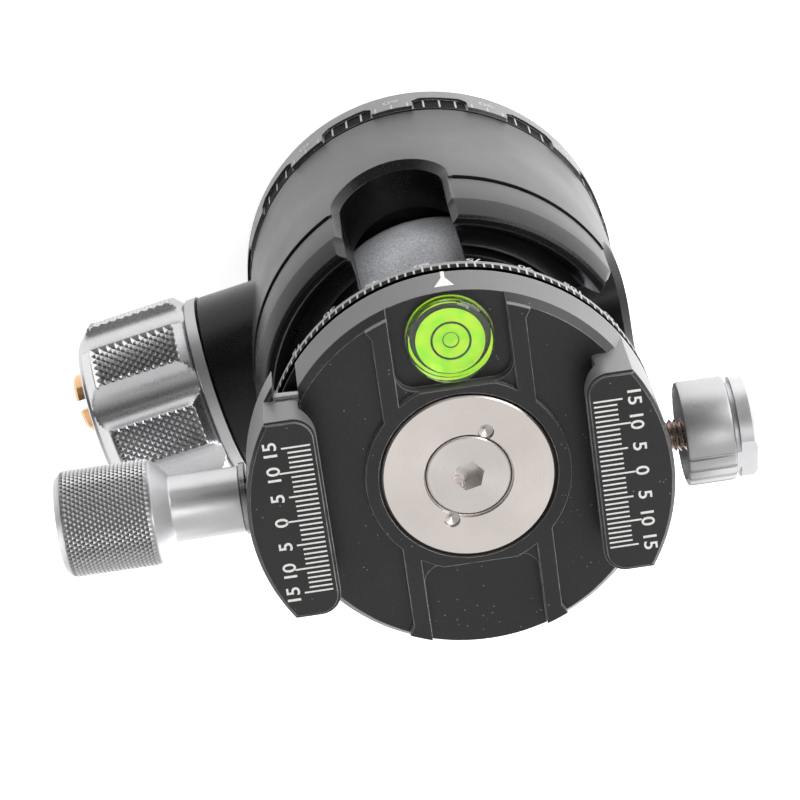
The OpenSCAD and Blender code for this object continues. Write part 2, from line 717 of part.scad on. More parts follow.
// Clear puck with a blind bore from below for the liquid.
module vial_body() color("#cfe8b0") translate([0, -vial_y, 0])
  difference() {
    union() {
      translate([0, 0, vial_z + 0.02])
        cylinder(h = vial_h - 0.32, r = vial_r);
      translate([0, 0, vial_top_z - 0.3])
        cylinder(h = 0.3, r1 = vial_r, r2 = vial_r - 0.3);
    }
    translate([0, 0, vial_z - 1]) cylinder(h = vial_h - vial_roof + 1,
      r = vial_r - vial_wall);
  }

module vial_liquid() color("#9dff1e") translate([0, -vial_y, 0])
  translate([0, 0, vial_z + plug_t + 0.04])
    cylinder(h = vial_h - vial_roof - plug_t - 0.06,
      r = vial_r - vial_wall - 0.02);

module vial_plug() color("#8fe81c") translate([0, -vial_y, 0])
  translate([0, 0, vial_z + 0.02])
    cylinder(h = plug_t, r = vial_r - vial_wall - 0.02);

module movable_jaw() color("#1a1b1d") difference() {
  translate([jaw_open, 0, 0]) union() {
    difference() {
      jaw_block(clamp_z + 0.6);
      translate([0, -40, clamp_z - 1])
        cube([cut_x + jaw_clear, 80, bed_floor_z + air_gap - clamp_z + 1]);
    }
    intersection() {
      union() {
        translate([0, 0, clamp_z + 0.3])
          cylinder(h = bed_floor_z - clamp_z - 0.8, r = clamp_r);
        translate([0, 0, bed_floor_z - 0.51])
          cylinder(h = 0.5, r1 = clamp_r, r2 = clamp_r - 0.5);
      }
      translate([cut_x + jaw_clear, -40, clamp_z]) cube([20, 80, 20]);
    }
  }
  rod_x(cut_x, clamp_r + 9, screw_r + air_gap, screw_z);
  for (s = [-1, 1]) translate([0, s * guide_y, 0])
    rod_x(cut_x, jaw_x + guide_grip, guide_r, guide_z);
}

module guide_pins() color("#85878b")
  for (s = [-1, 1]) translate([0, s * guide_y, 0])
    rod_x(bore_x + jaw_open + air_gap, jaw_x + guide_grip, guide_r, guide_z);

module clamp_knob() color("#c6c8cb") difference() {
  union() {
    rod_x(knob_x + 0.5, knob_x + neck_len, neck_r, screw_z);
    rod_x(knob_x + neck_len, knob_x + neck_len + 2.6, neck_r + 0.3,
      screw_z, clamp_knob_r - 0.2);
    rod_x(knob_x + neck_len + 2.6, knob_x + neck_len + 1.7 + clamp_knob_len,
      clamp_knob_r, screw_z);
    rod_x(knob_x + neck_len + 1.7 + clamp_knob_len,
      knob_x + neck_len + 2.6 + clamp_knob_len,
      clamp_knob_r - 0.1, screw_z, clamp_knob_r - 1);
  }
  rod_x(knob_x, knob_x + neck_len + 6, screw_r, screw_z);
  translate([knob_x + neck_len + 1.1 + clamp_knob_len, 0, screw_z])
    rotate([0, 90, 0]) cylinder(h = 5, r = 2.31, $fn = 6);
}

module clamp_screw() color("#9da0a5")
  rod_x(bore_x + jaw_open + air_gap, knob_x + neck_len + 6, screw_r,
    screw_z);

module clamp_washer() color("#8f9296") difference() {
  rod_x(jaw_face_x + 0.02, knob_x + 0.48, neck_r + 0.4, screw_z);
  rod_x(jaw_face_x - 1, knob_x + 1, screw_r + 0.05, screw_z);
}

base_plate();
thread_insert();
glide_washer();
base_retainer();
retainer_screws();
housing();
housing_floor();
ball_cup();
cup_spring();
pressure_pad();
main_lock_screw();
main_knob();
main_knob_flange();
friction_screw();
base_lock_knob();
base_lock_cap();
base_lock_screw();
base_lock_pad();
ball();
stem();
panning_ring();
bearing_disc();
centre_screw();
pan_washer();
clamp_body();
vial_body();
vial_liquid();
vial_plug();
pan_lock_knob();
pan_lock_cap();
pan_lock_screw();
pan_lock_pad();
movable_jaw();
guide_pins();
clamp_knob();
clamp_screw();
clamp_washer();
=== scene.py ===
"""Dresses the tripod ball head: finishes for its machined parts, and finer surfaces for the housing,
knobs, scales and bubble level than the plain solids have. Lengths of the pieces and of the camera are in
millimetres, and those of finishes and lights in metres."""

import json
import logging
import math
from dataclasses import dataclass, field
from enum import Enum

import bmesh
import bpy
import numpy as np
from mathutils import Matrix, Vector

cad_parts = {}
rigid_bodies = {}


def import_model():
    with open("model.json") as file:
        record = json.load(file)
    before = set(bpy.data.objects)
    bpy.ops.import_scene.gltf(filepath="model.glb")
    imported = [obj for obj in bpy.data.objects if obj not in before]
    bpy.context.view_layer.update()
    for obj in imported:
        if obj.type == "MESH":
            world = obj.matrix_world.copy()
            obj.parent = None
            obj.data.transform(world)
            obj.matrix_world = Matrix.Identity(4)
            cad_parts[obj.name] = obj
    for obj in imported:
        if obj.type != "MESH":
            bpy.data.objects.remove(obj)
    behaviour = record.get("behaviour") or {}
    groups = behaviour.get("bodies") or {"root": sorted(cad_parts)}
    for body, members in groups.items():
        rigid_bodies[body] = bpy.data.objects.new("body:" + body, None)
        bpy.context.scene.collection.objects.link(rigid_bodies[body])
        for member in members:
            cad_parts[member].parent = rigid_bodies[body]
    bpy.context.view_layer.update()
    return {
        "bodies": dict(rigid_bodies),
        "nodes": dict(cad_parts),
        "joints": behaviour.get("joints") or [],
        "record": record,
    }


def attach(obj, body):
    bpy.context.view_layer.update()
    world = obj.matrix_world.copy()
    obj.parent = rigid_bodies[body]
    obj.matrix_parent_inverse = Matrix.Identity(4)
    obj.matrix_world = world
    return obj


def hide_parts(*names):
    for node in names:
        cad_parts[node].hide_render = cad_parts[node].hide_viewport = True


LOG = logging.getLogger("ball_head")
MM = 0.001
HOUSING_YAW = 10.4
MAIN_AXIS_Z = 24.4
BASE_LOCK_Z = 11.4
CLAMP_SCREW_Z = 84.5
CLAMP_R = 28.84
WHITE_LIGHT = (1, 1, 1, 1)

Socket = bpy.types.NodeSocket
Triple = tuple[float, float, float]


# ---- node graphs ---------------------------------------------------------------------------------


class Graph:
    """A material's node tree with short calls for adding nodes and links."""

    def __init__(self, name: str) -> None:
        """Makes an empty material with one Principled shader.

        Args:
            name: The material's name.
        """
        self.material = bpy.data.materials.new(name)
        self.material.use_nodes = True
        self.tree = self.material.node_tree
        self.shader = self.tree.nodes["Principled BSDF"]

    def add(self, kind: str, **values: object) -> bpy.types.Node:
        """Adds a node and sets its properties and input sockets.

        Args:
            kind: The node's type name.
            values: Properties, and input sockets written with _ for spaces.

        Returns:
            The new node.
        """
        node = self.tree.nodes.new(kind)
        for key, value in values.items():
            if hasattr(node, key):
                setattr(node, key, value)
            else:
                node.inputs[key.replace("_", " ")].default_value = value
        return node

    def link(self, source: Socket, target: Socket) -> None:
        """Joins an output socket to an input socket."""
        self.tree.links.new(source, target)

    def place(self, turn: Triple = (0, 0, 0)) -> Socket:
        """Object coordinates in metres, turned so that a pattern sits on its piece.

        Args:
            turn: Angles in radians about X, Y and Z.

        Returns:
            The coordinates' socket.
        """
        coords = self.add("ShaderNodeTexCoord")
        mapping = self.add("ShaderNodeMapping", vector_type="POINT")
        mapping.inputs["Rotation"].default_value = turn
        self.link(coords.outputs["Object"], mapping.inputs["Vector"])
        return mapping.outputs["Vector"]

    def noise(self, vector: Socket, scale: float, detail: float = 2.0, rough: float = 0.5) -> Socket:
        """A noise texture's value.

        Args:
            vector: Coordinates.
            scale: Features per metre.
            detail: Octaves.
            rough: How strong the fine octaves are.

        Returns:
            The value socket.
        """
        node = self.add("ShaderNodeTexNoise", Scale=scale, Detail=detail, Roughness=rough)
        self.link(vector, node.inputs["Vector"])
        return node.outputs["Fac"]

    def spread(self, value: Socket, low: float, high: float, to_low: float, to_high: float) -> Socket:
        """Maps a value range to another, clamped.

        Args:
            value: The value.
            low: Where the range starts.
            high: Where it ends.
            to_low: What the start becomes.
            to_high: What the end becomes.

        Returns:
            The mapped value's socket.
        """
        node = self.add("ShaderNodeMapRange", clamp=True)
        for key, number in zip(("From Min", "From Max", "To Min", "To Max"), (low, high, to_low, to_high)):
            node.inputs[key].default_value = number
        self.link(value, node.inputs["Value"])
        return node.outputs["Result"]

    def mix(self, factor: Socket, first: Triple | Socket, second: Triple) -> Socket:
        """A colour between two others.

        Args:
            factor: 0 for the first colour, 1 for the second.
            first: The first colour, fixed or linked.
            second: The second colour, fixed.

        Returns:
            The colour's socket.
        """
        node = self.add("ShaderNodeMix", data_type="RGBA")
        colours = [s for s in node.inputs if s.type == "RGBA"]
        if isinstance(first, Socket):
            self.link(first, colours[0])
        else:
            colours[0].default_value = (*first, 1)
        colours[1].default_value = (*second, 1)
        self.link(factor, node.inputs["Factor"])
        return next(s for s in node.outputs if s.type == "RGBA")

    def shades(self, factor: Socket, tone: float | Triple, dark: Triple, light: Triple) -> Socket:
        """A colour between two shades of a tone, each channel times its own share."""
        return self.mix(factor, tuple(np.multiply(tone, dark)), tuple(np.multiply(tone, light)))

    def math(self, operation: str, first: Socket, second: Socket | float = 0.0) -> Socket:
        """A math node of one or two values.

        Args:
            operation: What it does, by the node's own name for it.
            first: The first value.
            second: The second value, linked or fixed.

        Returns:
            The result's socket.
        """
        node = self.add("ShaderNodeMath", operation=operation)
        self.link(first, node.inputs[0])
        if isinstance(second, float):
            node.inputs[1].default_value = second
        else:
            self.link(second, node.inputs[1])
        return node.outputs[0]

    def rounded(self, radius: float) -> Socket:
        """A normal that rounds sharp edges over a small radius, in metres."""
        return self.add("ShaderNodeBevel", samples=4, Radius=radius).outputs["Normal"]

    def bump(self, height: Socket, strength: float, distance: float, normal: Socket | None = None) -> Socket:
        """A normal bumped by a height.

        Args:
            height: The height value.
            strength: How much of it shows.
            distance: Height of one unit in metres.
            normal: The normal that it starts from.

        Returns:
            The normal socket.
        """
        node = self.add("ShaderNodeBump", Strength=strength, Distance=distance)
        self.link(height, node.inputs["Height"])
        if normal is not None:
            self.link(normal, node.inputs["Normal"])
        return node.outputs["Normal"]

    def settle(self, **sockets: object) -> bpy.types.Material:
        """Links or sets the shader's inputs, and gives the material.

        Args:
            sockets: Input names with _ for spaces, with a socket or a fixed value.

        Returns:
            The material.
        """
        for key, value in sockets.items():
            target = self.shader.inputs[key.replace("_", " ")]
            if isinstance(value, Socket):
                self.link(value, target)
            else:
                target.default_value = value
        return self.material


# ---- finishes ------------------------------------------------------------------------------------


@dataclass(frozen=True)
class BlackAnodised:
    """Bead blasted aluminium, anodised black: fine grain, soft mottling, a few dust specks, a painted
    highlight on rounded edges that is partly edge wear, and painted light on upright faces where side is set.
    """

    name: str
    tone: float = 0.018
    rough: float = 0.36
    grain: float = 0.5
    dust: float = 0.5
    edge: float = 0.0002
    ior: float = 1.46
    worn: float = 0.16
    side: float = 0.0

    def build(self) -> bpy.types.Material:
        """Makes the material."""
        g = Graph(self.name)
        at = g.place()
        cloud = g.noise(at, 90, 3)
        fine = g.noise(at, 3000, 3, 0.8)
        mottle = g.spread(g.math("ADD", cloud, g.math("MULTIPLY", fine, 1.6)), 0.95, 1.65, 0, 1)
        colour = g.shades(mottle, self.tone, (0.5, 0.51, 0.56), (1.6, 1.61, 1.7))
        specks = g.add("ShaderNodeTexVoronoi", feature="F1", Scale=900.0, Randomness=1.0)
        g.link(at, specks.inputs["Vector"])
        few = g.math("GREATER_THAN", g.noise(at, 170, 0), 0.57)
        spot = g.math("MULTIPLY", g.spread(specks.outputs["Distance"], 0.06, 0.13, self.dust, 0.0), few)
        colour = g.mix(spot, colour, (0.42, 0.42, 0.42))
        # Painted light: where side is set, faces that stand upright are lightened towards that grey, for the
        # light that upright walls catch.
        if self.side:
            facing = g.add("ShaderNodeSeparateXYZ")
            g.link(g.add("ShaderNodeTexCoord").outputs["Normal"], facing.inputs["Vector"])
            upward = g.math("ABSOLUTE", facing.outputs["Z"])
            colour = g.mix(g.spread(upward, 0.25, 0.6, 1.0, 0.0), colour, (self.side,) * 3)
        rounded = g.rounded(self.edge)
        # Painted highlight, partly edge wear: rounded edges, where the bevel normal turns from the true
        # normal, are lightened in patches.
        turn = g.add("ShaderNodeVectorMath", operation="DOT_PRODUCT")
        g.link(rounded, turn.inputs[0])
        g.link(g.add("ShaderNodeNewGeometry").outputs["True Normal"], turn.inputs[1])
        bright = g.math("MULTIPLY", g.spread(turn.outputs["Value"], 0.975, 0.86, 0.0, 1.0),
                        g.spread(g.noise(at, 420, 2), 0.3, 0.6, 0.35, 1.0))
        colour = g.mix(bright, colour, (self.worn, self.worn, self.worn * 1.03))
        rough = g.spread(g.math("ADD", cloud, g.math("MULTIPLY", fine, 0.6)), 0.5, 1.1,
                         self.rough - 0.05, self.rough + 0.06)
        normal = g.bump(fine, self.grain, 0.00006, rounded)
        return g.settle(Base_Color=colour, Roughness=rough, Normal=normal, IOR=self.ior)


@dataclass(frozen=True)
class SatinSilver:
    """Clear anodised aluminium, satin, with fine sparkle, faint tool lines round its axis, and painted shade
    in knurl valleys where valley is set.
    """

    name: str
    axis_turn: float = 0.0
    tone: float = 0.56
    rough: float = 0.36
    lines: float = 0.06
    grain: float = 0.22
    valley: float = 0.0
    edge: float = 0.00012

    def build(self) -> bpy.types.Material:
        """Makes the material."""
        g = Graph(self.name)
        at = g.place((0, 0, -self.axis_turn))
        cloud = g.noise(at, 140, 3)
        fine = g.noise(at, 3400, 3, 0.8)
        parts = g.add("ShaderNodeSeparateXYZ")
        g.link(at, parts.inputs["Vector"])
        line = g.add("ShaderNodeTexNoise", noise_dimensions="1D", Scale=5200.0, Detail=1.0)
        g.link(parts.outputs["X"], line.inputs["W"])
        sparkle = g.spread(g.math("ADD", cloud, fine), 0.7, 1.3, 0, 1)
        colour = g.shades(sparkle, self.tone, (0.9, 0.9, 0.92), (1.08, 1.08, 1.09))
        # Painted shade: the knurl's valleys are darkened by their depth.
        if self.valley:
            deep = g.add("ShaderNodeAttribute", attribute_name="knurl_depth").outputs["Fac"]
            colour = g.mix(g.spread(deep, 0.25, 0.9, 0.0, self.valley), colour, (0.03, 0.03, 0.03))
        rough = g.spread(fine, 0.3, 0.7, self.rough - 0.06, self.rough + 0.08)
        normal = g.bump(fine, self.grain, 0.00002, g.rounded(self.edge) if self.edge else None)
        normal = g.bump(line.outputs["Fac"], self.lines, 0.00002, normal)
        return g.settle(Base_Color=colour, Roughness=rough, Normal=normal, Metallic=1.0)


@dataclass(frozen=True)
class TurnedSteel:
    """Stainless steel faced on a lathe: fine rings round the vertical axis, slightly warm."""

    name: str
    tone: Triple = (0.66, 0.61, 0.57)
    rough: float = 0.3
    rings: float = 0.25
    anisotropy: float = 0.55
    edge: float = 0.0001

    def build(self) -> bpy.types.Material:
        """Makes the material."""
        g = Graph(self.name)
        at = g.place()
        flat = g.add("ShaderNodeVectorMath", operation="MULTIPLY")
        flat.inputs[1].default_value = (1, 1, 0)
        g.link(at, flat.inputs[0])
        far = g.add("ShaderNodeVectorMath", operation="LENGTH")
        g.link(flat.outputs["Vector"], far.inputs[0])
        ring = g.add("ShaderNodeTexNoise", noise_dimensions="1D", Scale=7000.0, Detail=3.0)
        g.link(far.outputs["Value"], ring.inputs["W"])
        cloud = g.noise(at, 160, 3)
        sheen = g.spread(g.math("ADD", cloud, ring.outputs["Fac"]), 0.7, 1.3, 0, 1)
        colour = g.shades(sheen, self.tone, (0.93, 0.93, 0.93), (1.05, 1.05, 1.06))
        rough = g.spread(g.math("ADD", cloud, ring.outputs["Fac"]), 0.7, 1.3,
                         self.rough - 0.05, self.rough + 0.05)
        normal = g.bump(ring.outputs["Fac"], self.rings, 0.00001, g.rounded(self.edge))
        tangent = g.add("ShaderNodeTangent", direction_type="RADIAL", axis="Z")
        g.link(tangent.outputs["Tangent"], g.shader.inputs["Tangent"])
        return g.settle(Base_Color=colour, Roughness=rough, Normal=normal, Metallic=1.0,
                        Anisotropic=self.anisotropy)


@dataclass(frozen=True)
class BareMetal:
    """Machined steel or brass with soft stains and fine scratches."""

    name: str
    tone: Triple = (0.5, 0.49, 0.48)
    rough: float = 0.28

    def build(self) -> bpy.types.Material:
        """Makes the material."""
        g = Graph(self.name)
        at = g.place()
        cloud = g.noise(at, 420, 4)
        fine = g.noise(at, 5200, 2)
        colour = g.shades(g.spread(cloud, 0.3, 0.7, 0, 1), self.tone, (0.8, 0.78, 0.76), (1.1, 1.1, 1.1))
        rough = g.spread(g.math("ADD", cloud, fine), 0.7, 1.3, self.rough - 0.07, self.rough + 0.1)
        return g.settle(Base_Color=colour, Roughness=rough, Metallic=1.0,
                        Normal=g.bump(fine, 0.2, 0.00002, g.rounded(0.0001)))


@dataclass(frozen=True)
class Polymer:
    """A moulded plastic with a slight mottle."""

    name: str
    tone: Triple = (0.8, 0.78, 0.72)
    rough: float = 0.45

    def build(self) -> bpy.types.Material:
        """Makes the material."""
        g = Graph(self.name)
        at = g.place()
        cloud = g.noise(at, 300, 3)
        colour = g.shades(g.spread(cloud, 0.3, 0.7, 0, 1), self.tone, (0.93, 0.93, 0.92), (1.04, 1.04, 1.04))
        rough = g.spread(cloud, 0.3, 0.7, self.rough - 0.05, self.rough + 0.06)
        return g.settle(Base_Color=colour, Roughness=rough, Normal=g.bump(g.noise(at, 3000, 2), 0.1, 0.00002))


@dataclass(frozen=True)
class EngravedPaint:
    """White or black filler in engraved marks, a little uneven."""

    name: str
    tone: Triple = (0.86, 0.85, 0.82)
    ior: float = 1.3

    def build(self) -> bpy.types.Material:
        """Makes the material."""
        g = Graph(self.name)
        worn = g.noise(g.place(), 2600, 3)
        colour = g.shades(g.spread(worn, 0.35, 0.6, 0, 1), self.tone, (0.86, 0.86, 0.86), (1, 1, 1))
        return g.settle(Base_Color=colour, Roughness=g.spread(worn, 0.3, 0.7, 0.42, 0.6),
                        Normal=g.bump(worn, 0.2, 0.00002), IOR=self.ior)


@dataclass(frozen=True)
class ClearCast:
    """Clear or tinted cast acrylic or liquid, with the faint ripple of a moulding."""

    name: str
    tone: Triple = (1.0, 1.0, 1.0)
    ior: float = 1.49
    rough: float = 0.02

    def build(self) -> bpy.types.Material:
        """Makes the material."""
        g = Graph(self.name)
        wave = g.noise(g.place(), 260, 1)
        rough = g.spread(wave, 0.3, 0.7, self.rough, self.rough + 0.03)
        return g.settle(Base_Color=(*self.tone, 1), Roughness=rough, Transmission_Weight=1.0, IOR=self.ior,
                        Normal=g.bump(wave, 0.08, 0.00004))


@dataclass(frozen=True)
class GlowingGreen:
    """The fluorescent green of a level's dyed liquid and plug, with a painted glow from its emission."""

    name: str
    tone: Triple = (0.50, 0.92, 0.02)
    glow: float = 0.65

    def build(self) -> bpy.types.Material:
        """Makes the material."""
        g = Graph(self.name)
        cloud = g.noise(g.place(), 420, 2)
        colour = g.shades(g.spread(cloud, 0.35, 0.65, 0, 1), self.tone, (0.8, 0.92, 1), (1.35, 1, 1.6))
        # Painted glow: the emission lets the green give off light of its own.
        return g.settle(Base_Color=colour, Roughness=g.spread(cloud, 0.3, 0.7, 0.2, 0.35),
                        Emission_Color=colour, Emission_Strength=self.glow)


class Finish(Enum):
    """Every finish of the head, made once when first asked for."""

    # The clamp's finish has painted light on its upright faces and a strong painted highlight on its edges.
    CLAMP_BLACK = BlackAnodised("clamp_black_anodising", tone=0.009, rough=0.33, dust=0.4, worn=0.5,
                                side=0.15)
    WALL_BLACK = BlackAnodised("housing_black_anodising", tone=0.016, rough=0.36, dust=0.12)
    # Two darker copies of the housing's finish, for painted shade inside the housing and on its bosses; the
    # first also darkens the shoulder and bevels.
    BEVEL_BLACK = BlackAnodised("bevel_and_painted_shade_anodising", tone=0.008, rough=0.26, dust=0.1, ior=1.33, worn=0.1)
    INNER_BLACK = BlackAnodised("inner_painted_shade_anodising", tone=0.006, rough=0.24, dust=0.05, worn=0.05)
    BALL_GREY = BlackAnodised("ball_hard_anodising", tone=0.41, rough=0.36, grain=0.4, dust=0.0, worn=0.36)
    SCREW_STEEL = BareMetal("screw_steel", tone=(0.50, 0.42, 0.38), rough=0.25)
    PLAIN_STEEL = BareMetal("plain_steel", tone=(0.30, 0.30, 0.31), rough=0.26)
    # The ball cup is painted near black, as painted shade inside the housing.
    CUP_DARK = BareMetal("ball_cup_painted_shade", tone=(0.035, 0.032, 0.03), rough=0.4)
    DISC_STEEL = TurnedSteel("disc_stainless")
    HEAD_STEEL = TurnedSteel("screw_head_stainless", tone=(0.62, 0.58, 0.55), rough=0.3, rings=0.12)
    BRASS = BareMetal("friction_brass", tone=(0.80, 0.48, 0.26), rough=0.24)
    NYLON = Polymer("natural_nylon")
    WHITE = EngravedPaint("white_filler")
    GREY_FILLER = EngravedPaint("grey_filler", tone=(0.5, 0.5, 0.49))
    # A painted outline round the bubble, standing in for the light bent at its edge.
    BUBBLE_LINE = EngravedPaint("bubble_edge", tone=(0.12, 0.35, 0.02))
    LINE_BLACK = EngravedPaint("black_ring_ink", tone=(0.008, 0.009, 0.008), ior=1.08)
    CLEAR = ClearCast("clear_acrylic", tone=(0.90, 1.0, 0.80))
    LIQUID = ClearCast("green_liquid", tone=(0.90, 1.0, 0.35), ior=1.38)
    BUBBLE = ClearCast("air_bubble", tone=(1.0, 1.0, 1.0), ior=0.74, rough=0.0)
    GREEN = GlowingGreen("green_plug")

    def material(self) -> bpy.types.Material:
        """The finish's material, made once."""
        return bpy.data.materials.get(self.value.name) or self.value.build()


# ---- mesh helpers --------------------------------------------------------------------------------


@dataclass(frozen=True)
class AxisFrame:
    """A turning axis: a point on it, its direction, and the direction of angle zero."""

    origin: Triple
    axis: Triple
    zero: Triple

    def carry(self, radius: np.ndarray, angle: np.ndarray, along: np.ndarray) -> np.ndarray:
        """Points = origin + axis*along + radius*(zero*cos(angle) + (axis x zero)*sin(angle)).

        Args:
            radius: Distances from the axis.
            angle: Angles in radians from zero, right-handed about the axis.
            along: Distances along the axis.

        Returns:
            Points with the inputs' common shape and 3.
        """
        radius, angle, along = np.broadcast_arrays(radius, angle, along)
        a, z = np.array(self.axis, float), np.array(self.zero, float)
        side = np.cross(a, z)
        spin = np.cos(angle)[..., None] * z + np.sin(angle)[..., None] * side
        return np.array(self.origin) + along[..., None] * a + radius[..., None] * spin


UPRIGHT = AxisFrame((0, 0, 0), (0, 0, 1), (1, 0, 0))


def level_axis(height: float, rear: bool = False) -> AxisFrame:
    """The main knob's level axis at a height, or the base lock's, a quarter turn further round.

    Args:
        height: Height of the axis.
        rear: Whether it is the base lock's.

    Returns:
        The axis, with angle zero upwards.
    """
    a = math.radians(HOUSING_YAW)
    c, s = math.cos(a), math.sin(a)
    return AxisFrame((0, 0, height), (-s, c, 0) if rear else (c, s, 0), (0, 0, 1))


def steps_round(count: int) -> np.ndarray:
    """Even angles of a full turn in radians."""
    return np.arange(count) * 2 * math.pi / count


def on_wall(azimuth: np.ndarray, radius: np.ndarray | float, z: np.ndarray | float) -> np.ndarray:
    """Points = (radius sin a, -radius cos a, z) for azimuth a in degrees from -Y towards +X."""
    t = np.radians(azimuth)
    return np.stack(np.broadcast_arrays(radius * np.sin(t), -radius * np.cos(t), z), -1)


def along_wall(azimuth: np.ndarray) -> np.ndarray:
    """Unit vectors to the right at azimuths on a round wall, as seen from outside."""
    t = np.radians(azimuth)
    return np.stack([np.cos(t), np.sin(t), 0 * t], -1)


def grid_quads(rows: int, columns: int, wrap: bool) -> np.ndarray:
    """Quads of a grid of points stored row by row.

    Args:
        rows: Number of rows.
        columns: Number of columns.
        wrap: Whether the last column joins the first.

    Returns:
        An array of quads.
    """
    i, j = np.meshgrid(np.arange(rows - 1), np.arange(columns if wrap else columns - 1), indexing="ij")
    k = (j + 1) % columns
    return np.stack([i * columns + j, i * columns + k, (i + 1) * columns + k, (i + 1) * columns + j],
                    -1).reshape(-1, 4)


def caps(rows: int, columns: int) -> list:
    """The first and last end faces of a tube of points stored row by row."""
    return [list(range(columns))[::-1], list(range((rows - 1) * columns, rows * columns))]


def tube(rows: int, columns: int) -> list:
    """All faces of a closed tube of points stored row by row."""
    return grid_quads(rows, columns, True).tolist() + caps(rows, columns)


def pyramids(cells: np.ndarray, even: np.ndarray) -> list:
    """Two triangles for each quad of a knurl, split along its valleys, which change side every quad."""
    a, b, c, d = cells.T
    return np.concatenate([np.stack([a, b, c], 1)[even], np.stack([a, c, d], 1)[even],
                           np.stack([a, b, d], 1)[~even], np.stack([b, c, d], 1)[~even]]).tolist()


def face_vectors(piece: bpy.types.Object, key: str) -> np.ndarray:
    """A vector of each face of a piece.

    Args:
        piece: The piece.
        key: "center" or "normal".

    Returns:
        One row per face.
    """
    values = np.zeros(len(piece.data.polygons) * 3)
    piece.data.polygons.foreach_get(key, values)
    return values.reshape(-1, 3)


def set_material_index(piece: bpy.types.Object, index: np.ndarray) -> None:
    """Gives each face its material's number."""
    piece.data.polygons.foreach_set("material_index", index.astype(np.int32))


def raw_object(name: str, points: np.ndarray, faces: list, closed: bool = True) -> bpy.types.Object:
    """An object at the origin from points in millimetres.

    Args:
        name: Its name.
        points: Vertices in millimetres.
        faces: Vertex index lists.
        closed: Whether it is a closed shell, whose normals are turned outwards.

    Returns:
        The object.
    """
    mesh = bpy.data.meshes.new(name)
    mesh.from_pydata((np.asarray(points, float) * MM).tolist(), [], [list(map(int, f)) for f in faces])
    work = bmesh.new()
    work.from_mesh(mesh)
    bmesh.ops.remove_doubles(work, verts=work.verts, dist=1e-7)
    if closed:
        bmesh.ops.recalc_face_normals(work, faces=work.faces)
    work.to_mesh(mesh)
    work.free()
    made = bpy.data.objects.new(name, mesh)
    bpy.context.scene.collection.objects.link(made)
    return made


def shade(piece: bpy.types.Object, finish: Finish | bpy.types.Material, angle: float = 30.0) -> None:
    """Gives a piece one material and smooth faces with sharp edges.

    Args:
        piece: The piece.
        finish: Its finish, or a material made for it alone.
        angle: Angle in degrees above which an edge is sharp.
    """
    mesh = piece.data
    mesh.materials.clear()
    mesh.materials.append(finish.material() if isinstance(finish, Finish) else finish)
    mesh.polygons.foreach_set("use_smooth", np.ones(len(mesh.polygons), bool))
    mesh.set_sharp_from_angle(angle=math.radians(angle))


def ride(piece: bpy.types.Object, body: str, slot: str, *nodes: str) -> bpy.types.Object:
    """Puts a finished piece on its body.

    Args:
        piece: The piece.
        body: The body that it moves with.
        slot: Its material slot; not used.
        nodes: The plain solids that it stands for.

    Returns:
        The piece.
    """
    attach(piece, body)
    if nodes:
        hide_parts(*nodes)
    LOG.info("%s: %d faces on %s", piece.name, len(piece.data.polygons), body)
    return piece


def mark(piece: bpy.types.Object, finish: Finish, body: str) -> None:
    """Finishes a scale's mark and puts it on the anodised part that carries it."""
    shade(piece, finish)
    ride(piece, body, "black_anodised")


def lathe_mesh(profile: np.ndarray, frame: AxisFrame = UPRIGHT,
               segments: int = 192) -> tuple[np.ndarray, list]:
    """A profile of (radius, along) carried round an axis: point = frame(radius_i, 2 pi j / n, along_i).

    Args:
        profile: Rows of radius and distance along the axis; a closed loop repeats its first row.
        frame: The axis.
        segments: Number of steps round.

    Returns:
        Points and faces.
    """
    profile = np.asarray(profile, float)
    angle = np.linspace(0, 2 * math.pi, segments, endpoint=False)
    points = frame.carry(profile[:, 0:1], angle[None, :], profile[:, 1:2])
    return points.reshape(-1, 3), grid_quads(len(profile), segments, True).tolist()


def cut(target: bpy.types.Object, tool: bpy.types.Object, operation: str = "DIFFERENCE") -> None:
    """Applies an exact boolean, and removes the tool.

    Args:
        target: The closed piece that changes.
        tool: The closed piece that is taken away from it or joined to it.
        operation: DIFFERENCE or UNION.
    """
    step = target.modifiers.new("cut", "BOOLEAN")
    step.operation, step.solver, step.object = operation, "EXACT", tool
    graph = bpy.context.evaluated_depsgraph_get()
    graph.update()
    old = target.data
    target.data = bpy.data.meshes.new_from_object(target.evaluated_get(graph))
    target.modifiers.clear()
    bpy.data.meshes.remove(old)
    bpy.data.objects.remove(tool)


def bore(target: bpy.types.Object, frame: AxisFrame, radius: float, low: float, high: float) -> None:
    """Cuts a round hole of a radius between two distances along an axis."""
    wall = np.array([(0, low), (radius, low), (radius, high), (0, high)])
    cut(target, raw_object("bore", *lathe_mesh(wall, frame, 64)))


def patches(name: str, centres: np.ndarray, right: np.ndarray, up: np.ndarray) -> bpy.types.Object:
    """Flat bars for marks: corners = centre +- right +- up, one quad each.

    Args:
        name: The object's name.
        centres: Bar centres in millimetres.
        right: Half width vectors.
        up: Half height vectors.

    Returns:
        The object.
    """
    corners = np.stack([centres - right - up, centres + right - up, centres + right + up,
                        centres - right + up], 1)
    faces = np.arange(len(centres) * 4).reshape(-1, 4)
    return raw_object(name, corners.reshape(-1, 3), faces.tolist(), closed=False)


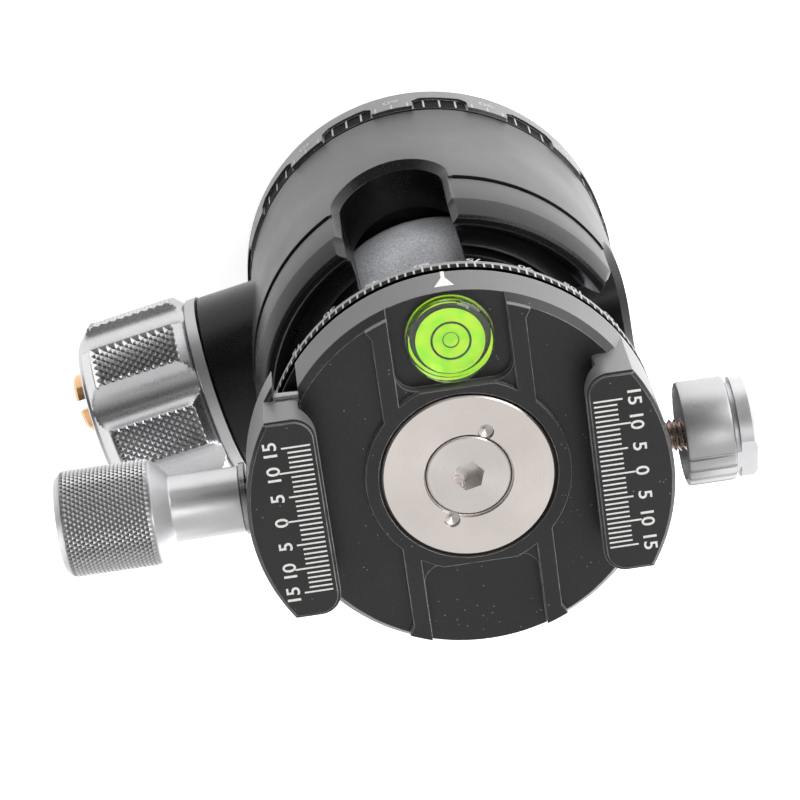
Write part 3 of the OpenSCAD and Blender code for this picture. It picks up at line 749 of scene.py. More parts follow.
def glyphs(text: str, height: float) -> tuple[np.ndarray, list]:
    """The outline of digits as a flat mesh, centred, of a given height in millimetres.

    Args:
        text: The digits.
        height: Height of a digit.

    Returns:
        Points as x, y in millimetres, and faces.
    """
    curve = bpy.data.curves.new("digits", "FONT")
    curve.body, curve.align_x, curve.align_y, curve.resolution_u = text, "CENTER", "CENTER", 3
    curve.space_character, curve.offset = 0.94, 0.014
    helper = bpy.data.objects.new("digits", curve)
    bpy.context.scene.collection.objects.link(helper)
    graph = bpy.context.evaluated_depsgraph_get()
    graph.update()
    mesh = bpy.data.meshes.new_from_object(helper.evaluated_get(graph))
    points = np.zeros(len(mesh.vertices) * 3)
    mesh.vertices.foreach_get("co", points)
    points = points.reshape(-1, 3)[:, :2]
    faces = [list(p.vertices) for p in mesh.polygons]
    bpy.data.objects.remove(helper)
    bpy.data.curves.remove(curve)
    bpy.data.meshes.remove(mesh)
    low, high = points.min(0), points.max(0)
    points = (points - (low + high) / 2) * height / (high[1] - low[1])
    return points, faces


def knurl_layer(piece: bpy.types.Object, frame: AxisFrame, radius: float, depth: float,
                span: tuple[float, float], flutes: int = 1, phase: float = 0.0, half: float = -1.0) -> None:
    """Stores how deep each point lies in a knurl, as a layer by which the finish darkens the valleys as
    painted shade.

    Depth = (radius - distance from the axis) / depth, and nothing outside the span or in a flute.

    Args:
        piece: The knob.
        frame: Its axis.
        radius: Radius of the knurl's peaks.
        depth: Depth of its valleys.
        span: Where the knurl begins and ends along the axis.
        flutes: Number of flutes round the knob.
        phase: Angle of a flute in radians.
        half: Half width of a flute in radians, below 0 for none.
    """
    points = np.zeros(len(piece.data.vertices) * 3)
    piece.data.vertices.foreach_get("co", points)
    away = points.reshape(-1, 3) / MM - np.array(frame.origin)
    axis, zero = np.array(frame.axis, float), np.array(frame.zero, float)
    along = away @ axis
    out = away - along[:, None] * axis
    turn = np.arctan2(out @ np.cross(axis, zero), out @ zero) - phase
    sector = 2 * math.pi / flutes
    offset = np.abs((turn + sector / 2) % sector - sector / 2)
    deep = np.clip((radius - np.linalg.norm(out, axis=1)) / depth, 0, 1)
    deep *= (along > span[0] - 0.05) & (along < span[1] + 0.05) & (offset > half - 0.002)
    layer = piece.data.attributes.new("knurl_depth", "FLOAT", "POINT")
    layer.data.foreach_set("value", deep.astype(np.float32))


class Joiner:
    """Collects small meshes into one object."""

    def __init__(self) -> None:
        """Starts empty."""
        self.points: list[np.ndarray] = []
        self.faces: list[list[int]] = []
        self.count = 0

    def add(self, points: np.ndarray, faces: list) -> None:
        """Adds a small mesh, with its faces' numbers moved on.

        Args:
            points: Its points.
            faces: Its faces.
        """
        self.points.append(np.asarray(points, float))
        self.faces += [[int(i) + self.count for i in f] for f in faces]
        self.count += len(points)

    def build(self, name: str, closed: bool = False) -> bpy.types.Object:
        """The joined object."""
        return raw_object(name, np.concatenate(self.points), self.faces, closed)


# ---- the scene round the head --------------------------------------------------------------------


@dataclass
class Studio:
    """White sweep, soft lights and the camera at the photograph's viewing angle."""

    place: Triple = (8.6, -169.0, 451.6)
    elevation: float = 66.808
    azimuth: float = 0.151
    roll: float = 171.503
    focal: float = 126.045
    floor_half: float = 6000.0
    world: tuple[float, float] = (0.10, 1.0)
    bright_side: Triple = (-0.25, 0.62, 0.74)

    def camera(self) -> None:
        """Camera axes: back = from the head to the camera, right and up turned by the roll about it."""
        e, a, r = (math.radians(v) for v in (self.elevation, self.azimuth, self.roll))
        back = np.array([math.cos(e) * math.sin(a), -math.cos(e) * math.cos(a), math.sin(e)])
        right = np.cross([0, 0, 1], back)
        right /= np.linalg.norm(right)
        up = np.cross(back, right)
        right2, up2 = math.cos(r) * right + math.sin(r) * up, -math.sin(r) * right + math.cos(r) * up
        lens = bpy.data.cameras.new("camera")
        lens.lens, lens.sensor_width, lens.sensor_fit = self.focal, 36.0, "AUTO"
        lens.clip_start, lens.clip_end = 0.01, 20
        camera = bpy.data.objects.new("camera", lens)
        camera.matrix_world = Matrix([[right2[i], up2[i], back[i], self.place[i] * MM] for i in range(3)]
                                     + [[0, 0, 0, 1]])
        bpy.context.scene.collection.objects.link(camera)
        bpy.context.scene.camera = camera

    def light(self, name: str, place: tuple, aim: tuple, size: tuple, power: float) -> None:
        """A soft box turned to a point.

        Args:
            name: Its name.
            place: Where it hangs, in metres.
            aim: The point that it is turned to, in metres.
            size: Its two sides in metres.
            power: Its power in watts.
        """
        lamp = bpy.data.lights.new(name, "AREA")
        lamp.shape, lamp.size, lamp.size_y, lamp.energy = "RECTANGLE", size[0], size[1], power
        box = bpy.data.objects.new(name, lamp)
        box.matrix_world = (Matrix.Translation(place)
                            @ (Vector(aim) - Vector(place)).to_track_quat("-Z", "Y").to_matrix().to_4x4())
        bpy.context.scene.collection.objects.link(box)

    def backdrop(self) -> None:
        """Soft light from all round, stronger from the bright side."""
        world = bpy.data.worlds.new("studio")
        world.use_nodes = True
        tree = world.node_tree
        coords, facing = tree.nodes.new("ShaderNodeTexCoord"), tree.nodes.new("ShaderNodeVectorMath")
        facing.operation = "DOT_PRODUCT"
        facing.inputs[1].default_value = self.bright_side
        ramp = tree.nodes.new("ShaderNodeMapRange")
        for key, value in zip(("From Min", "From Max", "To Min", "To Max"), (0.05, 0.92, *self.world)):
            ramp.inputs[key].default_value = value
        tree.links.new(coords.outputs["Generated"], facing.inputs[0])
        tree.links.new(facing.outputs["Value"], ramp.inputs["Value"])
        tree.links.new(ramp.outputs["Result"], tree.nodes["Background"].inputs["Strength"])
        tree.nodes["Background"].inputs["Color"].default_value = WHITE_LIGHT
        bpy.context.scene.world = world
        bpy.context.scene.view_settings.view_transform = "Standard"

    def floor(self) -> None:
        """The pale floor, whose own glow falls off across the picture and away from the head."""
        h = self.floor_half
        corners = np.array([[-h, -h, -0.05], [h, -h, -0.05], [h, h, -0.05], [-h, h, -0.05]])
        floor = raw_object("floor", corners, [[0, 1, 2, 3]], closed=False)
        g = Graph("pale_floor")
        tint = g.mix(g.noise(g.place(), 3, 1), (0.9, 0.9, 0.9), (0.93, 0.93, 0.93))
        across, far = g.add("ShaderNodeSeparateXYZ"), g.add("ShaderNodeVectorMath", operation="LENGTH")
        at = g.place()
        g.link(at, across.inputs["Vector"])
        g.link(at, far.inputs[0])
        glow = g.math("MULTIPLY", g.spread(across.outputs["X"], -0.09, 0.06, 1.45, 0.58),
                      g.spread(far.outputs["Value"], 0.25, 1.2, 1.0, 0.55))
        floor.data.materials.append(g.settle(Base_Color=tint, Roughness=0.9, Emission_Color=WHITE_LIGHT,
                                             Emission_Strength=glow))

    def lights(self) -> None:
        """One key light, four strips round the head and a box above it."""
        self.light("key", (-0.5, -0.45, 0.30), (0, -0.02, 0.05), (0.45, 0.45), 2.6)
        self.light("front_strip", (0.02, -0.62, 0.32), (0, 0, 0.08), (0.5, 0.05), 0.12)
        self.light("left_strip", (0.6, 0.24, 0.16), (0, 0, 0.08), (0.5, 0.06), 0.8)
        self.light("right_strip", (-0.6, 0.24, 0.14), (0, 0, 0.08), (0.5, 0.07), 1.0)
        self.light("back_strip", (-0.3, 0.55, 0.22), (0, 0, 0.08), (0.5, 0.2), 0.9)
        self.light("top_box", (-0.22, -0.12, 0.85), (0, 0, 0.05), (0.22, 0.22), 0.9)

    def build(self) -> None:
        """Makes world, floor, lights and camera."""
        self.backdrop()
        self.floor()
        self.lights()
        self.camera()
        LOG.info("studio ready")


# ---- base and housing ----------------------------------------------------------------------------


@dataclass
class BaseRing:
    """Scale on the panning base: a tick each 5 degrees, long ones in the windows, numbers between."""

    radius: float = 30.95
    top: float = 8.4
    window_depth: float = 0.45
    first: float = 4.7
    step: float = 5.0
    lift: float = 0.02
    tick_w: float = 0.30
    tick_drop: float = 0.35
    short_tick: float = 2.1
    long_tick: float = 3.7
    sector: int = 30
    digit_h: float = 1.7
    digit_stretch: float = 1.25
    digit_drop: float = 4.1
    window_half: float = 4.4
    window_low: float = 4.2
    window_steps: int = 9

    def ticks(self) -> None:
        """White ticks down from the ring's top edge."""
        azimuth = self.first + np.arange(0, 360, self.step)
        phase = np.round((azimuth - self.first) / self.step).astype(int) % 6
        deep = np.isin(phase, (2, 3, 4))
        radius = np.where(deep, self.radius - self.window_depth, self.radius) + self.lift
        length = np.where(deep, self.long_tick, self.short_tick)
        centre = on_wall(azimuth, radius, self.top - self.tick_drop - length / 2)
        up = np.stack([0 * length, 0 * length, length / 2], -1)
        marks = patches("base_ticks", centre, along_wall(azimuth) * self.tick_w / 2, up)
        mark(marks, Finish.GREY_FILLER, "base")

    def digits(self) -> None:
        """Numbers on the wall between the windows: x to the right round the wall, y up."""
        made = Joiner()
        for number in range(0, 360, self.sector):
            flat, faces = glyphs(str(number), self.digit_h)
            middle = self.first - (number - 2 * self.sector)
            azimuth = middle + np.degrees(flat[:, 0] * self.digit_stretch / self.radius)
            height = self.top - self.digit_drop + flat[:, 1]
            made.add(on_wall(azimuth, self.radius + self.lift, height), faces)
        mark(made.build("base_numbers"), Finish.GREY_FILLER, "base")

    def windows(self) -> None:
        """Black floors in the cut windows, each a strip of the wall's circle."""
        made = Joiner()
        across = np.degrees(np.linspace(-self.window_half, self.window_half, self.window_steps) / self.radius)
        radius = self.radius - self.window_depth + self.lift / 2
        for middle in range(self.sector // 2, 360, self.sector):
            azimuth = self.first + middle + across
            strip = [on_wall(azimuth, radius, z) for z in (self.top - self.window_low, self.top - self.lift)]
            made.add(np.concatenate(strip), grid_quads(2, self.window_steps, False).tolist())
        mark(made.build("base_windows"), Finish.LINE_BLACK, "base")

    def build(self) -> None:
        """Builds the scale."""
        self.windows()
        self.ticks()
        self.digits()


@dataclass
class Housing:
    """Main housing turned on a lathe, with two drop notches whose bevel has one width all along."""

    yaw: float = HOUSING_YAW
    radius: float = 30.4
    low: float = 8.7
    groove_z: float = 43.3
    groove_w: float = 0.9
    groove_depth: float = 0.7
    band_step: float = 0.3
    shoulder_z: float = 53.45
    rim_z: float = 57.9
    rim_r: float = 28.7
    trough_z: float = 53.1
    collar_r: float = 22.4
    collar_z: float = 56.5
    open_r: float = 17.2
    ball_z: float = 42.2
    seat_r: float = 22.3
    chamber_r: float = 22.6
    ledge_z: float = 17.4
    floor_r: float = 24.65
    notch_r: float = 8.3
    bevel: float = 1.3
    boss_r: float = 14.9
    boss_z: float = MAIN_AXIS_Z
    boss_start: float = 25.0
    boss_end: float = 36.7
    lock_z: float = BASE_LOCK_Z
    lock_r: float = 6.2
    lock_start: float = 25.5
    lock_end: float = 32.0
    main_bore: float = 4.1
    lock_bore: float = 2.5
    bore_start: float = 20.0
    groove_gap: float = 1.5

    def spot(self, points: np.ndarray, turn: float = 0.0) -> np.ndarray:
        """Points turned from the housing's own frame by its pan angle.

        Args:
            points: Points in the housing's own frame.
            turn: A further turn in degrees.

        Returns:
            The turned points.
        """
        a = math.radians(self.yaw + turn)
        c, s = math.cos(a), math.sin(a)
        return np.asarray(points, float) @ np.array([[c, s, 0], [-s, c, 0], [0, 0, 1]])

    def profile(self) -> np.ndarray:
        """The closed section: wall, band, shoulder, rim, trough, collar, ball seat arc and chamber."""
        r, b = self.radius, self.radius - self.band_step
        top = self.groove_z + self.groove_w / 2
        inner = self.rim_r - 1.4
        fillet = [(24.75 + 1.1 * math.sin(t), self.trough_z + 1.1 * (1 - math.cos(t)))
                  for t in np.radians([78, 62, 46, 30, 14, 0])]
        seat = [(self.seat_r * math.cos(t), self.ball_z + self.seat_r * math.sin(t))
                for t in np.radians([39.4, 34, 28, 22, 16, 10, 5.2])]
        return np.array([
            (r - 0.5, self.low), (r - 0.15, self.low + 0.15), (r, self.low + 0.5), (r, top), (b, top + 0.001),
            (b, self.shoulder_z - 0.15), (b - 0.08, self.shoulder_z + 0.1),
            (self.rim_r + 0.3, self.rim_z - 0.5), (self.rim_r + 0.1, self.rim_z - 0.18),
            (self.rim_r - 0.2, self.rim_z), (inner + 0.35, self.rim_z), (inner + 0.1, self.rim_z - 0.15),
            (inner - 0.1, self.rim_z - 0.5), (26.4, self.rim_z - 2.2), *fillet,
            (self.collar_r + 0.5, self.trough_z), (self.collar_r + 0.12, self.trough_z + 0.15),
            (self.collar_r, self.trough_z + 0.5),
            (self.collar_r, self.collar_z - 0.5), (self.collar_r - 0.15, self.collar_z - 0.12),
            (self.collar_r - 0.5, self.collar_z), (self.open_r + 0.5, self.collar_z),
            (self.open_r + 0.15, self.collar_z - 0.12), *seat, (self.chamber_r, self.ball_z + 1.9),
            (self.chamber_r, self.ledge_z), (self.floor_r, self.ledge_z), (self.floor_r, self.low),
            (r - 0.5, self.low)])

    def notch(self, turn: float) -> bpy.types.Object:
        """A cutter for a notch towards -Y of its frame.

        The outline is up one side, round a half circle, up the other, at half width w. Layer k lies on the
        surface rho = outside(z) + k, at half width w = notch_r + bevel + k, so the bevel is even all along.

        Args:
            turn: Its turn from the first notch in degrees.

        Returns:
            The closed cutter.
        """
        layers = [(-18.5, 0.0), (-self.bevel, 0.0), (0.0, self.bevel), (3.0, self.bevel + 3.0)]
        top = self.rim_z + 6
        side = np.linspace(top, self.ball_z, 34)[:-1]
        arc = np.radians(np.linspace(0, 180, 49))
        rows = []
        for k, extra in layers:
            w = self.notch_r + extra
            x = np.concatenate([np.full(len(side), w), w * np.cos(arc), np.full(len(side), -w)])
            z = np.concatenate([side, self.ball_z - w * np.sin(arc), side[::-1]])
            slope = (self.radius - self.band_step - self.rim_r - 0.3) / (self.rim_z - 0.5 - self.shoulder_z)
            outside = np.where(z > self.shoulder_z, self.radius - self.band_step
                               - slope * (np.minimum(z, self.rim_z) - self.shoulder_z), self.radius)
            rho = outside + k
            y = -np.sqrt(np.maximum(rho ** 2 - x ** 2, 1.0))
            rows.append(np.stack([x, y, z], -1))
        points = self.spot(np.concatenate(rows), turn)
        return raw_object("notch_cutter", points, tube(len(rows), len(rows[0])))

    def groove(self, start: float, end: float) -> bpy.types.Object:
        """A cutter for the groove between two azimuths, with round ends.

        Args:
            start: First azimuth in degrees from -Y of the housing's frame, towards +X.
            end: Last azimuth.

        Returns:
            The closed cutter.
        """
        h, z0 = self.groove_w / 2, self.groove_z + self.groove_w / 2
        length = math.radians(end - start) * self.radius
        tip = h * np.sin(np.radians([-84, -65, -45, -25]))
        u = np.concatenate([tip, np.linspace(0, length, max(8, int(length / 0.8))), length - tip[::-1]])
        over = np.maximum(np.maximum(-u, u - length), 0)
        half = np.sqrt(h ** 2 - over ** 2)
        t = math.radians(start) + u / self.radius
        inner, outer = self.radius - self.groove_depth, self.radius + 0.6
        ring = [(inner, -1), (outer, -1), (outer, 1), (inner, 1)]
        rows = np.stack([np.stack([rho * np.sin(t), -rho * np.cos(t), z0 + side * half], -1)
                         for rho, side in ring], 1)
        ends = [[0, 1, 2, 3], [len(u) * 4 - 4 + i for i in (3, 2, 1, 0)]]
        faces = grid_quads(len(u), 4, True).tolist() + ends
        return raw_object("groove_cutter", self.spot(rows.reshape(-1, 3)), faces)

    def add_bosses(self, body: bpy.types.Object) -> None:
        """Joins the main knob's round boss, and the base lock's, which is level with the underside.

        Args:
            body: The turned shell.
        """
        boss = np.array([(0, self.boss_start), (self.boss_r, self.boss_start),
                         (self.boss_r, self.boss_end - 0.5), (self.boss_r - 0.15, self.boss_end - 0.15),
                         (self.boss_r - 0.5, self.boss_end), (0, self.boss_end)])
        lock = np.array([(0, self.lock_start), (self.lock_r, self.lock_start),
                         (self.lock_r, self.lock_end - 0.4), (self.lock_r - 0.4, self.lock_end),
                         (0, self.lock_end)])
        cut(body, raw_object("boss", *lathe_mesh(boss, level_axis(self.boss_z), 128)), "UNION")
        arm = raw_object("lock_boss", *lathe_mesh(lock, level_axis(self.lock_z, rear=True), 64))
        block = np.array([(0, self.low - 6), (40, self.low - 6), (40, self.low + 0.02), (0, self.low + 0.02)])
        cut(arm, raw_object("underside", *lathe_mesh(block, UPRIGHT, 64)))
        cut(body, arm, "UNION")

    def cut_openings(self, body: bpy.types.Object) -> None:
        """Cuts both drop notches, the groove between them, and the lock screws' bores.

        Args:
            body: The shell with its bosses.
        """
        cut(body, self.notch(0))
        cut(body, self.notch(-90))
        reach = math.degrees(math.asin((self.notch_r + self.bevel) / self.radius)) + self.groove_gap
        cut(body, self.groove(reach, 270 - reach))
        cut(body, self.groove(270 + reach, 360 - reach))
        bore(body, level_axis(self.boss_z), self.main_bore, self.bore_start, self.boss_end + 1.0)
        bore(body, level_axis(self.lock_z, rear=True), self.lock_bore, self.bore_start, self.lock_end + 1.0)

    def build(self) -> None:
        """Builds the housing and dresses its walls and inside."""
        body = raw_object("housing_shell", *lathe_mesh(self.profile(), segments=240))
        self.add_bosses(body)
        self.cut_openings(body)
        shade(body, Finish.WALL_BLACK, 28)
        # The second and third materials are darker copies of the wall's finish: painted shade inside and on
        # the bosses, also used on the shoulder and bevels.
        body.data.materials.append(Finish.INNER_BLACK.material())
        body.data.materials.append(Finish.BEVEL_BLACK.material())
        self.split_inside(body)
        ride(body, "housing_body", "housing_black", "housing")

    def split_inside(self, body: bpy.types.Object) -> None:
        """Gives the trough, notch walls and chamber a darker copy of the finish as painted shade, and the
        shoulder, bevels and bosses a second darker copy, which on the bosses is painted shade.

        Args:
            body: The whole housing, with its three materials.
        """
        c = face_vectors(body, "center") / MM
        n = face_vectors(body, "normal")
        rho = np.hypot(c[:, 0], c[:, 1])
        outward = (c[:, :2] * n[:, :2]).sum(1) / np.maximum(rho, 1e-6)
        inside = (rho < self.rim_r - 0.5) & (outward < 0.5) | (rho < self.collar_r + 1.5)
        slanted = (outward < 0.985) & (rho > self.rim_r - 1.6) & (c[:, 2] > self.low + 1)
        set_material_index(body, np.where(inside, 1, np.where(slanted | (rho > self.radius + 0.4), 2, 0)))


# ---- knobs ---------------------------------------------------------------------------------------


@dataclass
class MainKnob:
    """Large locking knob: flutes between diamond knurled lands, bevelled ends with a stepped rim."""

    start: float = 38.85
    end: float = 57.5
    radius: float = 16.4
    flutes: int = 7
    phase: float = 29.6
    flute_r: float = 5.0
    depth: float = 2.0
    knurl: tuple[float, float] = (40.75, 54.55)
    knurl_depth: float = 0.5
    land_steps: int = 12
    flute_steps: int = 22
    knurl_rows: int = 20
    inner_steps: tuple[float, ...] = (0, 0.12, 0.5, 1.0, 1.4, 1.7)
    outer_steps: tuple[float, ...] = (2.75, 2.6, 2.4, 2.0, 1.6, 1.2, 0.95, 0.7, 0.55, 0.5, 0.5, 0.2, 0.0)
    seat: Triple = (0.721, -3.927, 23.095)
    seat_bore: float = 3.66
    seat_low: float = 51.0

    def flute_circle(self) -> tuple[float, float]:
        """How far a flute's circle lies from the axis, and the flute's half width, by the cosine rule.

        Returns:
            Distance of the circle's middle, and the half width in radians where it leaves the knob.
        """
        far = self.radius - self.depth + self.flute_r
        half = math.acos((far ** 2 + self.radius ** 2 - self.flute_r ** 2) / (2 * far * self.radius))
        return far, half

    def columns(self) -> tuple[np.ndarray, np.ndarray]:
        """Angles round the knob, and the angle of each from its flute's middle.

        Returns:
            Angles in radians, and signed offsets, where beyond the flute's half width the land begins.
        """
        half = self.flute_circle()[1]
        sector = 2 * math.pi / self.flutes
        in_flute = np.linspace(-half, half, self.flute_steps, endpoint=False)
        on_land = np.linspace(half, sector - half, self.land_steps, endpoint=False)
        one = np.concatenate([in_flute, on_land])
        angle = np.concatenate([one + k * sector for k in range(self.flutes)])
        offset = np.tile((one + sector / 2) % sector - sector / 2, self.flutes)
        return angle, offset

    def profile(self) -> tuple[np.ndarray, np.ndarray]:
        """Rows along the axis, with a bevel at either end and a stepped rim at the outer one.

        Returns:
            Distances along the axis, and the radius at each without flutes or knurl.
        """
        s = np.concatenate([self.start + np.array(self.inner_steps),
                            np.linspace(*self.knurl, self.knurl_rows + 1),
                            self.end - np.array(self.outer_steps)])
        base = np.interp(s, [self.start, self.start + 2.0, self.end - 2.6, self.end - 0.7],
                         [self.radius - self.depth + 0.05, self.radius, self.radius, self.radius - 2.1])
        base[-3:] = [self.radius - 2.6, self.radius - 2.65, self.radius - 2.95]
        base[0] -= 0.12
        return s, base

    def build(self) -> None:
        """Radius = the least of the end bevels' profile, the flute circle, and the knurl's pyramids.

        The flute circle seen from the axis at angle f is D cos f - sqrt(r^2 - D^2 sin^2 f). The knurl's
        points lie on a grid where every second point is a valley and the others are peaks.
        """
        angle, offset = self.columns()
        s, base = self.profile()
        far, half = self.flute_circle()
        under = self.flute_r ** 2 - (far * np.sin(offset)) ** 2
        flute = np.where(under > 0, far * np.cos(offset) - np.sqrt(np.maximum(under, 0)), 99.0)
        r = np.minimum(base[:, None], flute[None, :])
        first = len(self.inner_steps)
        i, j = np.meshgrid(np.arange(len(s)), np.arange(len(angle)), indexing="ij")
        per = self.flute_steps + self.land_steps
        on_land = (j % per) >= self.flute_steps
        inside = on_land & (i >= first) & (i <= first + self.knurl_rows)
        edge = (j % per == self.flute_steps) | (i == first) | (i == first + self.knurl_rows)
        valley = inside & ((i - first + j % per) % 2 == 0)
        r = np.where(valley, r - self.knurl_depth * np.where(edge, 0.6, 1.0), r)
        frame = level_axis(MAIN_AXIS_Z)
        grid = frame.carry(r, angle[None, :], s[:, None])
        n = len(angle)
        quads = grid_quads(len(s), n, True)
        row, col = quads[:, 0] // n, quads[:, 0] % n
        cell = ((col % per) >= self.flute_steps) & (row >= first) & (row < first + self.knurl_rows)
        even = (row[cell] - first + col[cell] % per) % 2 == 0
        faces = quads[~cell].tolist() + pyramids(quads[cell], even) + caps(len(s), n)[::-1]
        knob = raw_object("main_knob_grip", grid.reshape(-1, 3), faces)
        turn = Matrix.Rotation(math.radians(self.phase), 4, Vector(frame.axis))
        lift = Matrix.Translation((0, 0, MAIN_AXIS_Z * MM))
        knob.data.transform(lift @ turn @ lift.inverted())
        bore(knob, AxisFrame(self.seat, frame.axis, (0, 0, 1)), self.seat_bore, self.seat_low, self.end + 1.0)
        knurl_layer(knob, frame, self.radius, self.knurl_depth, self.knurl, self.flutes,
                    math.radians(self.phase), half)
        finish = SatinSilver("main_knob_silver", math.radians(HOUSING_YAW), tone=0.56, rough=0.3, grain=0.1,
                             valley=0.34, edge=0.0).build()
        shade(knob, finish, 24)
        ride(knob, "main_knob_body", "silver", "main_knob")


@dataclass
class ClampKnob:
    """Clamp screw's knob: smooth neck, cone, and a long head with fine diamond knurling."""

    start: float = 32.64
    neck_r: float = 4.8
    neck_end: float = 42.84
    cone: float = 2.6
    head_r: float = 7.8
    head_end: float = 58.14
    height: float = CLAMP_SCREW_Z
    around: int = 62
    rows: int = 22
    knurl_depth: float = 0.30
    hex_r: float = 2.31
    hex_depth: float = 3.0

    def build(self) -> None:
        """A profile along the axis, with the head's points on a grid of valleys and peaks."""
        frame = AxisFrame((0, 0, self.height), (1, 0, 0), (0, 0, 1))
        cone_end = self.neck_end + self.cone
        front = np.array([(2.4, self.start), (self.neck_r - 0.2, self.start), (self.neck_r, self.start + 0.2),
                          (self.neck_r, self.neck_end - 0.3), (self.neck_r + 0.12, self.neck_end),
                          (self.head_r - 0.35, cone_end - 0.25), (self.head_r - 0.18, cone_end)])
        back = np.array([(self.head_r - 0.2, self.head_end), (self.head_r - 0.95, self.head_end + 0.85),
                         (self.head_r - 1.2, self.head_end + 0.95), (self.hex_r + 0.7, self.head_end + 0.95),
                         (self.hex_r + 0.45, self.head_end + 0.6)])
        along = np.linspace(cone_end, self.head_end, self.rows + 1)
        n = self.around * 2
        angle = steps_round(n)
        i, j = np.meshgrid(np.arange(self.rows + 1), np.arange(n), indexing="ij")
        r = np.where((i + j) % 2 == 0, self.head_r - self.knurl_depth, self.head_r)
        r[0], r[-1] = self.head_r - self.knurl_depth, self.head_r - self.knurl_depth
        full_r = np.concatenate([np.repeat(front[:-1, 0:1], n, 1), r, np.repeat(back[:, 0:1], n, 1)])
        full_s = np.concatenate([np.repeat(front[:-1, 1:2], n, 1), np.repeat(along[:, None], n, 1),
                                 np.repeat(back[:, 1:2], n, 1)])
        rows = len(full_r)
        grid = frame.carry(full_r, angle[None, :], full_s)
        quads = grid_quads(rows, n, True)
        first = len(front) - 1
        row, col = quads[:, 0] // n, quads[:, 0] % n
        cell = (row >= first) & (row < first + self.rows)
        even = (row[cell] - first + col[cell]) % 2 == 0
        faces = quads[~cell].tolist() + pyramids(quads[cell], even) + caps(rows, n)
        knob = raw_object("clamp_knob_head", grid.reshape(-1, 3), faces)
        key = np.array([(0, self.head_end - self.hex_depth), (self.hex_r, self.head_end - self.hex_depth),
                        (self.hex_r, self.head_end + 2.0), (0, self.head_end + 2.0)])
        cut(knob, raw_object("key_cutter", *lathe_mesh(key, frame, 6)))
        knurl_layer(knob, frame, self.head_r, self.knurl_depth, (cone_end, self.head_end))
        finish = SatinSilver("clamp_knob_silver", tone=0.5, rough=0.38, lines=0.03, grain=0.1,
                             valley=0.35, edge=0.0).build()
        shade(knob, finish, 22)
        self.brighten_cone(knob)
        ride(knob, "clamp_knob_body", "silver", "clamp_knob")

    def brighten_cone(self, knob: bpy.types.Object) -> None:
        """Gives the cone between neck and head a brighter, rougher copy of the knob's finish, as painted
        light.

        Args:
            knob: The knob.
        """
        # Painted light: the brighter copy stands in for the light that falls on the cone.
        knob.data.materials.append(SatinSilver("clamp_knob_cone_painted_light", tone=0.68, rough=0.5, lines=0.0).build())
        x = face_vectors(knob, "center")[:, 0] / MM
        set_material_index(knob, (x > self.neck_end) & (x < self.neck_end + self.cone - 0.2))


@dataclass
class LockKnob:
    """Small lock knob: recessed inner face, three groups of fine grooves, and a separate end cap."""

    name: str
    body: str
    frame: AxisFrame
    start: float
    radius: float = 7.6
    length: float = 7.0
    groove_r: float = 0.3
    groups: int = 3
    first: float = -5.0
    pitch: float = 15.5
    count: int = 4
    around: int = 720

    def grooves(self, angle: np.ndarray) -> np.ndarray:
        """How deep the grip is cut by round grooves: depth = sqrt(groove radius^2 - arc from its middle^2).

        Args:
            angle: Angles in radians.

        Returns:
            The depth at each angle.
        """
        deep = np.zeros_like(angle)
        for g in range(self.groups):
            for k in range(self.count):
                middle = math.radians(self.first + g * 360 / self.groups + k * self.pitch)
                gap = np.abs((angle - middle + math.pi) % (2 * math.pi) - math.pi) * self.radius
                deep = np.maximum(deep, np.sqrt(np.maximum(self.groove_r ** 2 - gap ** 2, 0)))
        return deep

    def build(self) -> None:
        """Radius = profile, less the grooves' depth where the profile is the grip's outer wall."""
        x, r, n = self.start, self.radius, self.around
        profile = np.array([
            (2.5, x + 1.5), (r - 1.2, x + 1.5), (r - 1.1, x + 1.4), (r - 1.0, x + 0.1), (r - 0.85, x),
            (r - 0.4, x), (r - 0.12, x + 0.12), (r, x + 0.45), (r, x + self.length - 0.5),
            (r - 0.12, x + self.length - 0.15), (r - 0.45, x + self.length), (2.5, x + self.length)])
        angle = steps_round(n)
        wall = np.repeat(profile[:, 0:1], n, 1)
        wall[5:11] -= self.grooves(angle)[None, :]
        grid = self.frame.carry(wall, angle[None, :], profile[:, 1:2])
        knob = raw_object(self.name + "_grip", grid.reshape(-1, 3), tube(len(profile), n))
        turn = math.atan2(self.frame.axis[1], self.frame.axis[0])
        shade(knob, SatinSilver(self.name + "_silver", turn, tone=0.38, rough=0.42, grain=0.45).build(), 30)
        ride(knob, self.body, "silver", self.name + "_knob")


@dataclass
class ThreadedRod:
    """A screw with a real 60 degree thread on the stretch that shows."""

    name: str
    body: str
    frame: AxisFrame
    node: str
    start: float
    thread: tuple[float, float]
    end: float
    radius: float = 2.38
    pitch: float = 0.8
    depth_share: float = 0.62
    around: int = 48

    def build(self) -> None:
        """Radius = major - depth * |2 frac(s/pitch - angle/2pi) - 1| along the threaded stretch."""
        rows = int((self.thread[1] - self.thread[0]) / self.pitch * 10)
        s = np.concatenate([[self.start, self.start], np.linspace(*self.thread, rows), [self.end, self.end]])
        angle = steps_round(self.around)
        tooth = np.abs(2 * ((s[:, None] / self.pitch - angle[None, :] / (2 * math.pi)) % 1) - 1)
        r = self.radius - self.depth_share * self.pitch * np.clip(tooth * 1.2 - 0.1, 0, 1)
        r[0], r[-1] = 0.01, 0.01
        grid = self.frame.carry(r, angle[None, :], s[:, None])
        rod = raw_object(self.name, grid.reshape(-1, 3), tube(len(s), self.around))
        shade(rod, Finish.SCREW_STEEL, 40)
        ride(rod, self.body, "steel", self.node)


# ---- clamp ---------------------------------------------------------------------------------------


